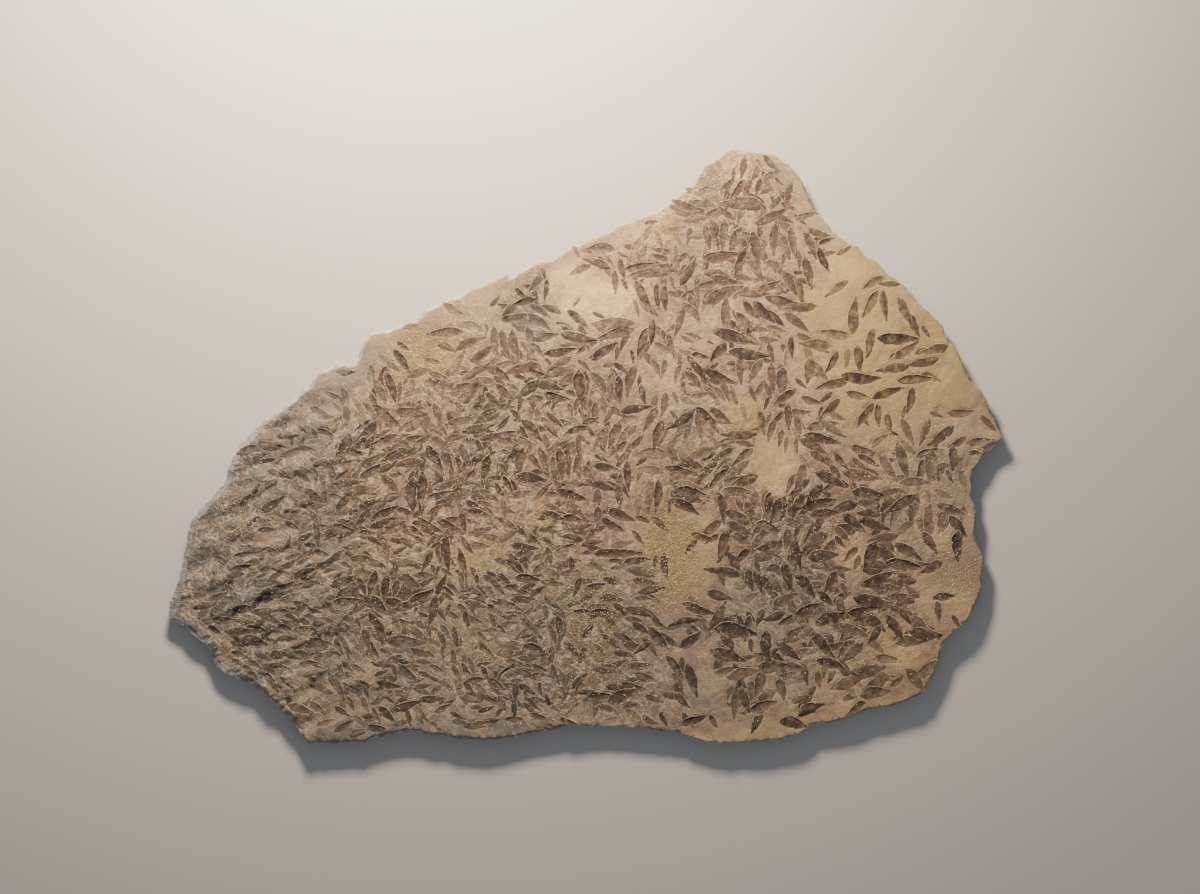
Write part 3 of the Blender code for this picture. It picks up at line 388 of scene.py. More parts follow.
# creases and ridges of the face: x, y to x, y, height (minus for a crease) and half width
creases = [
    (-402, -193, -359, -165, -0.8, 3.2), (-440, -134, -380, -128, -0.8, 3.6), (-360, -87, -333, -76, 0.6, 2.2),
    (-285, -347, -260, -342, 0.6, 2.4), (-479, -117, -449, -120, 0.9, 3.0), (-476, -124, -448, -126, -0.8, 2.6),
    (-469, -183, -434, -191, -0.8, 3.6), (-408, -121, -383, -125, -0.9, 3.0), (-473, -163, -398, -142, -0.9, 2.8),
    (-446, -159, -445, -164, -0.8, 3.0), (-328, -96, -319, -115, -0.9, 4.0),
    (-12, 165, 10, 135, -0.5, 1.6), (10, 135, 62, 141, -0.6, 1.6), (62, 141, 78, 156, -0.4, 1.6),
]


def bedHeight(points):
    x, y = points.T
    swell = np.sin(x / 150.0 + 0.6) * np.cos(y / 120.0 - 0.4) + 0.5 * np.sin((x + 2.0 * y) / 88.0)
    along = turned(points, bedding["rumpleTurn"])
    leftEnd = np.clip((-230.0 - x) / 120.0, 0.0, 1.0)
    wander = 9.0 * rockNoise(points, 42.0, 2.0)
    rumple = np.sin((along[:, 1] + wander) * 2.0 * math.pi / bedding["rumplePitch"])
    height = bedding["thickness"] + bedding["swell"] * swell + leftEnd * (
        bedding["rumple"] * rumple + bedding["crumple"] * rockNoise(along / (2.4, 1.0), 12.0, 6.0, 2)
        + bedding["crinkle"] * rockNoise(along / (1.8, 1.0), 5.5, 8.0))
    height += bedding["grain"] * rockNoise(points, 28.0, 3.0) + bedding["fineGrain"] * rockNoise(points, 8.0, 4.0)
    layer = rockNoise(points, bedding["flakeSize"], 9.0, 3)
    height += bedding["flake"] * (smoothStep(0.02, 0.05, layer) - smoothStep(-0.3, -0.27, -layer) - 0.5)
    for ax, ay, bx, by, rise, wide in creases:
        a, b = np.array([ax, ay]), np.array([bx, by]) - (ax, ay)
        share = np.clip((points - a) @ b / (b @ b), 0.0, 1.0)
        gap = np.linalg.norm(points - a - share[:, None] * b, axis=1)
        height += rise * bell(gap / wide) * np.sin(np.pi * (0.1 + 0.8 * share))
    return height


# stains of the face, the wide mauve and grey ones towards the bottom and the left end partly painted shade: x, y, half
# length, half width, turn in degrees, strength
stains = {
    "ochre": [
        (-185, 115, 62, 32, 15, 0.9), (295, 160, 36, 34, -40, 0.8), (430, 75, 36, 56, 15, 0.9),
        (365, -225, 28, 22, 0, 0.7), (-140, -230, 48, 30, 0, 0.7), (-255, -30, 36, 34, 0, 0.7),
        (-120, -135, 36, 28, 0, 0.7), (-60, -75, 38, 26, 0, 0.6), (190, 38, 26, 22, 0, 0.8),
        (315, 40, 28, 26, 0, 0.5), (100, -135, 42, 72, 0, 0.9), (8, -215, 44, 86, 0, 0.7),
        (-400, -75, 62, 36, 15, 0.15), (92, 265, 8, 18, 20, 0.9), (330, 120, 40, 30, -40, 0.4),
        (390, 170, 125, 150, 0, 1.0),
    ],
    "cream": [
        (25, 175, 62, 30, 12, 1.0), (-20, 202, 34, 18, 20, 0.8), (70, 250, 40, 22, 25, 0.5),
        (310, 215, 28, 20, -40, 0.4), (425, -115, 20, 15, 0, 0.6), (385, -250, 26, 18, 20, 0.5),
        (228, -25, 26, 40, 0, 0.5), (150, -285, 28, 20, 0, 0.4), (318, -128, 22, 28, 0, 0.5),
        (190, 330, 30, 24, 0, 0.5), (100, 290, 40, 16, 30, 0.6),
    ],
    "mauve": [
        (180, -65, 32, 26, 0, 0.7), (-38, -66, 28, 22, 0, 0.6), (-90, -145, 26, 20, 0, 0.5),
        (300, -120, 100, 120, 0, 0.85), (-330, -80, 60, 90, 0, 0.8), (-40, -90, 120, 80, 0, 0.6),
        (-190, -50, 130, 70, 0, 0.7), (-440, -150, 90, 60, 0, 0.9), (150, -290, 150, 50, 0, 0.6),
        (120, -250, 120, 60, 0, 0.5), (-260, -230, 90, 80, 0, 0.5), (-20, -200, 110, 120, 0, 0.5),
        (-420, -30, 90, 110, -30, 0.6), (-440, -160, 70, 60, 0, 0.5), (-300, 68, 84, 26, 42, 0.5),
        (458, 50, 56, 130, 0, 0.5), (-190, -345, 200, 24, 0, 0.7),
    ],
    "grey": [
        (-440, -180, 120, 100, 0, 1.0), (-330, -110, 70, 60, 0, 0.6), (460, -60, 80, 170, 0, 0.3),
        (-55, 150, 30, 22, 20, 0.7), (258, -285, 30, 22, 0, 0.6), (245, -235, 14, 10, 0, 0.7),
        (-300, 68, 84, 26, 42, 0.8), (-190, -345, 200, 26, 0, 0.95), (-400, -20, 110, 130, -50, 1.0),
        (-40, -260, 360, 110, 0, 0.6), (-350, -230, 120, 100, 0, 0.95), (-220, -280, 120, 60, 0, 0.7),
        (230, -190, 80, 80, 0, 0.7), (-60, -250, 90, 60, 0, 0.6),
    ],
    "grit": [
        (101, -136, 40, 74, 0, 1.0), (5, -220, 40, 84, 0, 0.9), (-403, -76, 60, 36, 15, 0.6),
        (449, -148, 36, 38, 0, 0.8), (-199, 128, 30, 26, 0, 0.9), (-35, -190, 18, 14, 0, 0.7),
        (148, 312, 22, 16, 30, 0.5), (245, 305, 16, 20, 0, 0.4),
    ],
}


def stainAmount(points, kind):
    amount = np.zeros(len(points))
    for x, y, rx, ry, turn, strength in stains[kind]:
        away = turned(points - (x, y), turn) / (rx, ry)
        amount = np.maximum(amount, strength * smoothStep(1.35, 0.45, np.hypot(*away.T)))
    return amount


def stainsAt(points):
    # the left end is as broken up as the thickest of the shoal
    broken = np.maximum(crowdAt(points), smoothStep(-250.0, -400.0, points[:, 0]))
    ochre, cream, mauve, grey, grit = (stainAmount(points, kind) for kind in stains)
    return {"stainWarm": np.stack([ochre, cream, mauve], axis=1), "stainCool": np.stack([grey, broken, grit], axis=1)}


bodyPlan = {
    "stations": [0.0, 0.03, 0.08, 0.16, 0.27, 0.40, 0.55, 0.70, 0.82, 0.90, 0.94, 0.975, 1.0],
    "share": [0.0, 0.22, 0.46, 0.75, 0.95, 1.0, 0.91, 0.70, 0.44, 0.26, 0.23, 0.19, 0.0],
    "slimness": (0.25, 0.32),   # height over length
    "stoutness": 0.07,          # more than that in the lower right-hand shoal
    "stretch": (0.06, 0.11),    # snouts and tails reach past where they fade, as shares of the length
    "level": (-0.75, 0.1),      # middle of a body below (minus) or above the bedding face
    "tilt": 0.5,                # how far its back or belly stands off that
    "bulge": (-0.5, 0.7),       # hollow to rounded
    "lip": (-0.15, 0.25),       # raised outline round it
    "wobble": 0.08,             # how uneven its outline is, as a share of the height
    "lean": 0.25,               # how much more of it lies to one side of its axis
    "bend": 0.045,              # how far its middle bows, as a share of the length
    "rise": 0.12,               # each film lies this far above what it covers
    "skirt": 0.42,              # and its edge tucks this far under
    "bedUnder": 2.4,            # the stone stays this far below a film
}

# how each film looks: strength, purple, grey, darkness; in the order they were laid down
filmTones = {
    "paleTan": (0.60, 0.10, 0.10, 0.05), "greyOlive": (0.90, 0.05, 0.90, 0.35),
    "midBrown": (0.92, 0.15, 0.10, 0.30), "darkOlive": (0.97, 0.00, 0.45, 0.65),
    "purpleBrown": (0.95, 0.90, 0.05, 0.40), "redBrown": (0.95, 0.60, 0.00, 0.55), "darkBrown": (1.0, 0.30, 0.05, 0.75),
}

# where the shoal is a jumble with hardly a whole fish: x, y, radius, amount (minus where it is sparse)
jumbles = [
    (165, 318, 48, 0.9), (-255, -60, 75, 0.5), (-300, -180, 85, 0.5), (-130, -255, 60, 0.4), (-95, 30, 60, 0.35),
    (-190, -50, 100, 0.5), (-60, -20, 60, 0.4), (220, -180, 70, 0.4), (60, -60, 50, 0.2), (-170, 60, 40, 0.3),
    (-70, -70, 60, 0.5), (-70, -150, 65, 0.6), (0, -225, 75, 0.6), (-100, -270, 55, 0.5), (70, -300, 55, 0.4),
    (-30, -300, 60, 0.5), (340, 100, 120, -0.3), (330, -120, 60, 0.3), (75, 248, 45, 0.5), (115, 222, 40, 0.3),
    (-60, 192, 42, 0.45), (-150, 150, 50, 0.3), (250, 215, 40, 0.2),
]

crowding = {
    "corner": (-520.0, -380.0),   # start, pitch and size of the grid that holds how thick the shoal lies
    "pitch": 12.0,
    "cells": (88, 65),
    "reach": 24.0,                # how far round a fish it counts
    "full": 150.0,                # millimetres of fish in the thickest shoal
}


def crowdGrid(heads, tails):
    # how thick the shoal lies around each point of the grid, 0 to 1
    grid = np.stack(np.meshgrid(*map(np.arange, crowding["cells"]), indexing="ij"), axis=-1)
    grid = grid * crowding["pitch"] + crowding["corner"]
    near = np.linalg.norm(grid[:, :, None] - (heads + tails) / 2.0, axis=3)
    weight = np.linalg.norm(tails - heads, axis=1) * bell(near / crowding["reach"])
    total = weight.sum(axis=2) / crowding["full"]
    for x, y, radius, amount in jumbles:
        total += amount * bell(np.linalg.norm(grid - (x, y), axis=2) / radius)
    return np.clip(total, 0.0, 1.0)


def crowdAt(points):
    cell = (points - np.array(crowding["corner"])) / crowding["pitch"]
    cell = np.clip(cell, 0.0, np.array(crowding["cells"]) - 1.1)
    i, j = cell.astype(int).T
    fx, fy = (cell - np.floor(cell)).T
    return ((1 - fx) * (1 - fy) * crowd[i, j] + fx * (1 - fy) * crowd[i + 1, j]
            + (1 - fx) * fy * crowd[i, j + 1] + fx * fy * crowd[i + 1, j + 1])


def endsOf(fishes):
    return np.hsplit(np.array([fish[:4] for fish, tone in fishes], float), 2)


scraps = {
    "pitch": 13.5,           # spacing of the half-buried fish
    "least": 0.2,            # thinnest shoal that has them
    "length": (16.0, 38.0),
    "stray": 26.0,           # degrees they turn from their neighbours
    "whole": 0.5,            # share left out where most fish are whole
    "clear": 5.0,            # least distance from the middle of a listed fish
    "margin": 9.0,           # and from the outline
}


def fillScraps(fishes):
    # half-buried fish and torn pieces between those listed, lying the way their neighbours do
    heads, tails = endsOf(fishes)
    centres = (heads + tails) / 2.0
    spots = scattered(outlineRing, scraps["pitch"], 0.45)
    depths = edgeDistance(spots, outlineRing)[0]
    spots, depths = spots[depths > scraps["margin"]], depths[depths > scraps["margin"]]
    bare = np.max([stainAmount(spots, kind) for kind in ("cream", "ochre", "grit")], axis=0)
    whole = np.maximum(smoothStep(-60.0, 60.0, spots[:, 0]), smoothStep(20.0, 120.0, spots[:, 1]))
    whole *= 1.0 - 0.7 * smoothStep(140.0, 220.0, spots[:, 1])
    chance = smoothStep(scraps["least"], 0.75, crowdAt(spots)) * (1.0 - 0.8 * bare)
    chance *= 1.0 - scraps["whole"] * whole
    found = []
    for spot, likely, depth in zip(spots, chance, depths):
        away = np.linalg.norm(centres - spot, axis=1)
        if dice.random() > likely or away.min() < scraps["clear"]:
            continue
        model = np.argsort(away)[int(dice.integers(0, 4))]
        way = tails[model] - heads[model]
        turn = math.atan2(way[1], way[0]) + math.radians(dice.normal(0.0, scraps["stray"]))
        long = min(dice.uniform(*scraps["length"]), 1.15 * np.linalg.norm(way), 1.7 * depth)
        reach = np.array([math.cos(turn), math.sin(turn)]) * long / 2.0
        found.append((tuple(spot - reach) + tuple(spot + reach), fishes[model][1]))
    return found


# every fish with its tone, in the order they were laid down
outlineRing = np.array(outline, float)
clear = [(fish, tone) for tone in filmTones for fish in sorted(shoal[tone], key=lambda f: math.dist(f[:2], f[2:4]))]
crowd = crowdGrid(*endsOf(clear))
buried = fillScraps(clear)
laid = buried + clear
count = len(laid)
listed = np.arange(count) >= len(buried)
tones = np.array([tone for fish, tone in laid])
head, tail = endsOf(laid)
short = np.where(listed, np.clip((44.0 - np.linalg.norm(tail - head, axis=1)) / 18.0, 0.2, 1.0), 0.0)[:, None]
hidden = (tail - head) * short
head, tail = head - hidden * bodyPlan["stretch"][0], tail + hidden * bodyPlan["stretch"][1]
length = np.linalg.norm(tail - head, axis=1)
axis = (tail - head) / length[:, None]
middle = (head + tail) / 2.0
stout = smoothStep(60.0, 200.0, middle[:, 0]) * smoothStep(0.0, -120.0, middle[:, 1])
plain = (dice.uniform(*bodyPlan["slimness"], count) + bodyPlan["stoutness"] * stout) * length
plain *= np.where(length > 38.0, 0.9, 1.0)
half = 0.5 * np.array([fish[4] if len(fish) > 4 else wide for (fish, tone), wide in zip(laid, plain)])
bend = dice.uniform(-bodyPlan["bend"], bodyPlan["bend"], count) * length
# the back usually lies on the side that faces up the plate
side = np.stack([-axis[:, 1], axis[:, 0]], axis=1)
side *= np.where((side[:, 1] > 0) ^ (dice.random(count) < 0.22), 1.0, -1.0)[:, None]
bulk = np.clip(length / 30.0, 0.55, 1.15)
level = dice.uniform(*bodyPlan["level"], count) * bulk
tilt = dice.uniform(-1.0, 1.0, count) * bodyPlan["tilt"] * bulk
bulge = dice.uniform(*bodyPlan["bulge"], count) * bulk
lip = dice.uniform(*bodyPlan["lip"], count)
spin = dice.uniform(0.0, 2.0 * math.pi, count)
lean = dice.uniform(-0.5, 1.0, count) * bodyPlan["lean"]
slope = np.gradient(bodyPlan["share"], bodyPlan["stations"])
# films differ in strength, the fresh dark ones and those near the peak and the right-hand tip least;
# these last are browner too
faint = ~np.isin(tones, ("darkBrown", "darkOlive", "redBrown")) * (1.0 - 0.1 * smoothStep(-250.0, -400.0, middle[:, 0]))
warmer = np.maximum(smoothStep(60.0, 220.0, middle[:, 1]),
                    smoothStep(220.0, 340.0, middle[:, 0]) * smoothStep(-60.0, 60.0, middle[:, 1]))
fades = 1.0 - dice.uniform(0.0, 0.45, count) ** 1.3 * faint * (1.0 - 0.7 * warmer) - 0.05 * ~listed
print(len(clear), "fish and", len(buried), "scraps placed")


def halfHeight(k, u, across):
    # half height of fish k at u, usually a little deeper in the belly, with its own uneven outline
    lower = across < 0
    wobble = np.sin(u * 8.0 + spin[k] + 2.6 * lower) + 0.6 * np.sin(u * 19.0 + 3.0 * spin[k] + lower)
    share = np.interp(u, bodyPlan["stations"], bodyPlan["share"]) * (1.0 + bodyPlan["wobble"] * wobble)
    return half[k] * share * np.where(lower, 1.0 + lean[k], 1.0 - lean[k])


def placeOn(k, points):
    # share along fish k, distance across it (plus to the back) and depth inside its outline
    away = points - head[k]
    u = away @ axis[k] / length[k]
    inU = np.clip(u, 0.0, 1.0)
    across = away @ side[k] - bend[k] * 4.0 * inU * (1.0 - inU)
    steep = np.interp(inU, bodyPlan["stations"], slope) * half[k] / length[k]
    inset = (halfHeight(k, inU, across) - np.abs(across)) / np.sqrt(1.0 + steep ** 2)
    return u, across, np.where(u == inU, inset, -np.hypot((u - inU) * length[k], across))


def pressed(k, bed, top, place, rise):
    # height of the face once fish k is pressed into it
    u, across, inset = place
    mask = smoothStep(0.0, min(1.6, 0.5 * half[k]), inset)
    v = np.clip(across / half[k], -1.0, 1.0)
    spine = 0.25 * bell(across / 0.9) * smoothStep(0.16, 0.3, u) * smoothStep(0.95, 0.7, u)
    skull = 0.4 * np.exp(-((u - 0.12) / 0.07) ** 2 - (v / 0.6) ** 2)
    floor = bed + level[k] + tilt[k] * v + bulge[k] * (1.0 - v * v) + spine + skull
    floor += 0.12 * np.sin(u * 37.0 + across * 2.1)
    broken = 0.6 + 0.4 * np.sin(u * 9.0 + 5.0 * level[k] + np.sign(across) * 2.0)
    edge = lip[k] * bell((inset + 0.45) / 0.5) * broken
    return top * (1.0 - mask) + floor * mask + edge + rise


def faceHeight(points, own=None, near=None):
    # height of the face as seen with every fish in place, of the film of fish number own, or of the
    # stone under all of them (own is -1)
    bed = bedHeight(points)
    top = bed.copy()
    for k in range(count) if near is None else near:
        spot = np.flatnonzero(np.abs(points - middle[k]).max(axis=1) < length[k] / 2.0 + 4.0)
        if not len(spot):
            continue
        place = placeOn(k, points[spot])
        if own is not None and k > own:
            top[spot] -= bodyPlan["bedUnder"] * smoothStep(0.0, min(1.8, 0.6 * half[k]), place[2])
            continue
        rise = 0.0
        if k == own:
            rise = bodyPlan["rise"] - bodyPlan["skirt"] * smoothStep(-0.5, -1.3, place[2])
        elif own is not None:
            rise = bodyPlan["rise"] * smoothStep(-1.2, -0.3, place[2])
        top[spot] = pressed(k, bed[spot], top[spot], place, rise)
    over = np.maximum(top - bedding["ceiling"], 0.0)
    return np.minimum(top, bedding["ceiling"]) + bedding["overshoot"] * (1.0 - np.exp(-over / bedding["overshoot"]))


slab = {
    "gridPitch": 2.5,        # spacing of the face's points
    "edgePitch": 2.6,        # spacing along the outline
    "roughEdge": 0.55,       # how far the broken outline wanders
    "rim": 4.5,              # usual width of the broken bevel
    "leftRim": 3.5,          # more at the left end
    "rightRim": 0.65,        # share of it to the right and below
    "tipRim": 11.0,          # width at the two tips
    "tips": [(-494, -190, 34), (484, -2, 12)],
    "rimSteps": (0.3, 0.62, 1.0),
    "wallTop": 17.5,
    "wallFoot": 5.5,
    "wallRough": 2.2,
    "courses": 7,            # layers seen in the side wall
    "foot": 3.5,             # how far the underside stands back
    "footSteps": 2,
    "underPitch": 13.0,
}


def brokenOutline():
    # the outline at an even spacing, roughened along its own normals
    closed = np.vstack([outlineRing, outlineRing[:1]])
    run = np.concatenate([[0.0], np.cumsum(np.linalg.norm(np.diff(closed, axis=0), axis=1))])
    at = np.linspace(0.0, run[-1], int(run[-1] / slab["edgePitch"]), endpoint=False)
    fine = np.stack([np.interp(at, run, values) for values in closed.T], axis=1)
    rough = slab["roughEdge"] * (rockNoise(fine, 7.0, 21.0) + 0.5 * rockNoise(fine, 2.8, 22.0) - 0.25)
    return fine + inwardNormals(fine) * rough[:, None]


def rimWidth(ring):
    width = slab["rim"] + 1.9 * rockNoise(ring, 30.0, 1.0) + 1.4 * rockNoise(ring, 9.0, 1.5)
    width *= slab["rightRim"] + (1.0 - slab["rightRim"]) * smoothStep(60.0, -260.0, ring[:, 0])
    width += slab["leftRim"] * smoothStep(-330.0, -440.0, ring[:, 0])
    for x, y, reach in slab["tips"]:
        near = np.clip(1.0 - np.linalg.norm(ring - (x, y), axis=1) / reach, 0.0, 1.0)
        width += (slab["tipRim"] - slab["rim"]) * np.sqrt(near)
    return width


def faceGrid(ring):
    # even grid of points well inside the rim, its cells, its outer edge and a test for what lies in it
    pitch = slab["gridPitch"]
    points = gridOver(ring, pitch, "ij")
    across, down = points.shape[:2]
    points = points.reshape(-1, 2)
    leftTip = np.array(slab["tips"][0][:2])
    margin = 9.0 + 8.0 * np.clip(1.0 - np.linalg.norm(points - leftTip, axis=1) / 60.0, 0.0, 1.0)
    kept = (insideRing(points, ring) & (edgeDistance(points, ring[::4])[0] > margin)).reshape(across, down)
    cells = kept[:-1, :-1] & kept[1:, :-1] & kept[:-1, 1:] & kept[1:, 1:]
    i, j = np.nonzero(cells)
    quads = np.stack([(i + di) * down + j + dj for di, dj in ((0, 0), (1, 0), (1, 1), (0, 1))], axis=1)
    used, quads = np.unique(quads, return_inverse=True)
    quads = quads.reshape(-1, 4)
    sides = np.concatenate([quads[:, [a, (a + 1) % 4]] for a in range(4)])
    _, first, times = np.unique(np.sort(sides, axis=1), axis=0, return_index=True, return_counts=True)

    def inGrid(spots):
        cell = ((spots - ring.min(axis=0)) / pitch).astype(int)
        return cells[tuple(np.clip(cell, 0, np.array(cells.shape) - 1).T)]

    return points[used], quads, sides[first[times == 1]], inGrid


def slabFace(ring, rim, wallTop):
    # the bedding face with its broken bevel: grid inside, loose triangles out to the outline
    grid, quads, border, inGrid = faceGrid(ring)
    borderIds, borderEdges = np.unique(border, return_inverse=True)
    normal = inwardNormals(ring, 5)
    depths = [(1, rim * share) for share in slab["rimSteps"]] + [(2, rim + 3.0)]
    loose = np.vstack([ring[::skip] + normal[::skip] * depth[::skip, None] for skip, depth in depths])
    meant = np.concatenate([depth[::skip] for skip, depth in depths])
    loose = loose[insideRing(loose, ring) & (edgeDistance(loose, ring[::2])[0] > 0.8 * meant) & ~inGrid(loose)]
    n = len(ring)
    edges = [(i, (i + 1) % n) for i in range(n)] + (borderEdges.reshape(-1, 2) + n).tolist()
    plan, faces, source = joinPlan(np.vstack([ring, grid[borderIds], loose]), edges)
    centre = plan[faces].mean(axis=1)
    faces = faces[insideRing(centre, ring) & ~inGrid(centre)]
    # number the points: ring, then grid, then the loose ones
    number, new = numberPoints(source, np.concatenate([np.arange(n), n + borderIds]), n + len(grid))
    points = np.vstack([ring, grid, plan[new]])
    gap, place = edgeDistance(plan[new], ring)
    gap = np.concatenate([np.zeros(n), np.full(len(grid), 50.0), gap])
    place = np.concatenate([np.arange(n), np.zeros(len(grid)), place])
    width, foot = (np.interp(place, np.arange(n + 1), np.append(values, values[0])) for values in (rim, wallTop))
    share = np.clip(gap / width, 0.0, 1.0)
    chip = 0.9 * rockNoise(points, 6.0, 31.0) * np.sin(np.pi * share)
    height = foot + (faceHeight(points, -1) - foot) * share ** 0.8 + np.where(share < 1.0, chip, 0.0)
    edge = np.stack([np.minimum(gap, 20.0), share], axis=1)
    return np.column_stack([points, height]), quads + n, number[faces], edge


def buildSlab(material):
    ring = brokenOutline()
    wallTop, wallFoot = (slab[name] + slab["wallRough"] * rockNoise(ring, lump, seed)
                         for name, lump, seed in (("wallTop", 22.0, 3.0), ("wallFoot", 26.0, 5.0)))
    points, quads, triangles, edge = slabFace(ring, rimWidth(ring), wallTop)
    n, parts, normal = len(ring), [points], inwardNormals(ring)
    faces = quads.tolist() + triangles.tolist()
    # side wall: one course of rock under another, each broken back by its own amount, then the foot
    upper, start = np.arange(n), len(points)
    courses, bands = slab["courses"], slab["courses"] + slab["footSteps"]
    for row in range(1, bands + 1):
        back = 0.25 + 1.1 * (0.5 + rockNoise(ring, 16.0, 40.0 + row)) + 0.5 * rockNoise(ring, 4.0, 60.0 + row)
        height = wallTop + (wallFoot - wallTop) * min(row / courses, 1.0)
        if row > courses:
            last = (row - courses) / slab["footSteps"]
            back += (slab["foot"] + 1.2 * rockNoise(ring, 24.0, 7.0)) * last
            height = wallFoot * (1.0 - last)
        parts.append(np.column_stack([ring + normal * np.maximum(back, 0.0)[:, None], height]))
        lower = np.arange(n) + start
        faces += ringBand(upper, lower)
        upper, start = lower, start + n
    # underside: the last ring filled in, with the layers that came away from it
    foot = parts[-1][:, :2]
    loose = scattered(foot, slab["underPitch"], 3.0 / slab["underPitch"])
    loose = loose[edgeDistance(loose, foot[::4])[0] > 7.0]
    plan, under, source = joinPlan(np.vstack([foot, loose]), [(i, (i + 1) % n) for i in range(n)])
    under = under[insideRing(plan[under].mean(axis=1), foot)]
    number, new = numberPoints(source, upper, start)
    inner = plan[new]
    lifted = 0.7 * smoothStep(-0.02, 0.06, rockNoise(inner, 95.0, 12.0, 3)) + 0.25 + 0.25 * rockNoise(inner, 20.0, 13.0)
    parts.append(np.column_stack([inner, lifted]))
    faces += number[under][:, ::-1].tolist()
    points = np.vstack(parts)
    below = np.arange(len(points)) >= start
    edge = np.vstack([edge, np.zeros((len(points) - len(edge), 2))])
    layers = stainsAt(points[:, :2])
    for stain in layers.values():
        stain[below] *= 0.25   # the underside is plain rock
    # the left-hand edges broke more, and the upper left bevels get a painted highlight
    leftward = smoothStep(60.0, -260.0, points[:, 0])
    paintedHighlight = leftward * smoothStep(-180.0, 20.0, points[:, 1])
    broken = 0.45 + 0.55 * leftward * smoothStep(-420.0, -250.0, points[:, 1])
    layers["edgeLook"] = np.column_stack([edge, paintedHighlight])
    layers["sideLook"] = np.column_stack([np.arange(len(points)) >= len(parts[0]), below, broken])
    faceted = (edge[:, 1] < 0.999) & ~below
    smooth = [not any(faceted[i] for i in face) for face in faces]

    def flatMap(corners):
        # the face fills most of the map, the wall a strip above it and the underside the rest
        low = points[:, :2].min(axis=0)
        flat = (points[:, :2] - low) / (points[:, :2].max(axis=0) - low)
        along, down = np.tile(np.arange(n), bands), np.repeat(np.arange(bands), n)
        wall = np.stack([np.stack([along + i, down + j], axis=1) for i, j in ((0, 0), (0, 1), (1, 1), (1, 0))], axis=1)
        wall = wall.reshape(-1, 2) * (0.99 / n, 0.06 / bands) + (0.005, 0.72)
        top = 4 * len(quads) + 3 * len(triangles)
        face, under = flat[corners[:top]], flat[corners[top + len(wall):]]
        return np.vstack([face * (0.99, 0.705) + 0.005, wall, under * (0.99, 0.2) + (0.005, 0.795)])

    plate = makePiece("shaleSlab", points, faces, layers, material, flatMap, smooth)
    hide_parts("fossil_plate")


filmMesh = {
    "rings": [0.3, 0.65, 0.88, 1.0],     # shares of the body's half height
    "scrapRings": [0.35, 0.78, 1.0],
    "outer": [0.45, 1.3],                # rings outside it: crest of the lip, skirt under the stone
    "stations": (12, 18, 24),            # along a short, a usual and a long fish
    "scrapStations": 11,
    "margin": 3.2,                       # bare edge round each fish in the bake map
}


def filmPlan(k):
    # plan points of fish k, ring by ring, and the faces between the rings
    steps = filmMesh["scrapStations"]
    if listed[k]:
        steps = filmMesh["stations"][int(length[k] > 21.0) + int(length[k] > 33.0)]
    t = np.arange(steps + 1) / steps
    u = 0.5 * (0.5 - 0.5 * np.cos(np.pi * t)) + 0.5 * t
    rings = []
    for share in filmMesh["rings" if listed[k] else "scrapRings"]:
        tuck = (1.0 - share) * 0.6 * u[1]
        inner = tuck + u * (1.0 - 2.0 * tuck)
        spine = head[k] + np.outer(inner * length[k], axis[k])
        arch = bend[k] * 4.0 * inner * (1.0 - inner)
        back, belly = (spine + np.outer(way * share * halfHeight(k, u, way) + arch, side[k]) for way in (1.0, -1.0))
        rings.append(np.vstack([back, belly[-2:0:-1]]))
    body = rings[-1]
    normal = inwardNormals(body, 1)
    away = -np.sign(((body - body.mean(axis=0)) * normal).sum())
    rings += [body - normal * away * out for out in filmMesh["outer"]]
    m = 2 * steps
    faces = [[i, i + 1, (m - i - 1) % m, (m - i) % m] for i in range(1, steps - 1)]
    faces += [[0, 1, m - 1], [steps - 1, steps, steps + 1]]
    for r in range(len(rings) - 1):
        faces += ringBand(r * m + np.arange(m), (r + 1) * m + np.arange(m))
    if axis[k][0] * side[k][1] > axis[k][1] * side[k][0]:
        faces = [face[::-1] for face in faces]
    return np.vstack(rings), faces


def buildFilms(name, chosen, material):
    points, faces, place, look, body, bake = [], [], [], [], [], []
    columns = math.ceil(math.sqrt(len(chosen) / 2.2))
    lines = math.ceil(len(chosen) / columns)
    start, margin = 0, filmMesh["margin"]
    for slot, k in enumerate(chosen):
        plan, patch = filmPlan(k)
        near = np.flatnonzero(np.linalg.norm(middle - middle[k], axis=1) < (length + length[k]) / 2.0 + 6.0)
        u, across, inset = placeOn(k, plan)
        points.append(np.column_stack([plan, faceHeight(plan, k, near)]))
        faces += [[start + i for i in face] for face in patch]
        start += len(plan)
        place.append(np.stack([u * length[k], across, inset], axis=1))
        strength, purple, grey, dark = filmTones[tones[k]]
        look.append(np.tile([strength * fades[k], purple * (1.0 - 0.7 * warmer[k]), grey], (len(plan), 1)))
        body.append(np.tile([dark, length[k], half[k]], (len(plan), 1)))
        wide, tall = length[k] + 2.0 * margin, 2.2 * half[k] + 2.0 * margin
        cell = np.stack([(u * length[k] + margin) / wide, (across + tall / 2.0) / tall], axis=1)
        corner = np.array([slot % columns, slot // columns])
        bake.append((corner + 0.04 + 0.92 * np.clip(cell, 0.0, 1.0)) / (columns, lines))
    points, bake = np.vstack(points), np.vstack(bake)
    layers = stainsAt(points[:, :2])
    layers.update(filmPlace=np.vstack(place), filmLook=np.vstack(look), filmBody=np.vstack(body))
    makePiece(name, points, faces, layers, material, lambda corners: bake[corners])


def hexToLinear(code):
    parts = [int(code[i:i + 2], 16) / 255.0 for i in (1, 3, 5)]
    return [p / 12.92 if p <= 0.04045 else ((p + 0.055) / 1.055) ** 2.4 for p in parts] + [1.0]


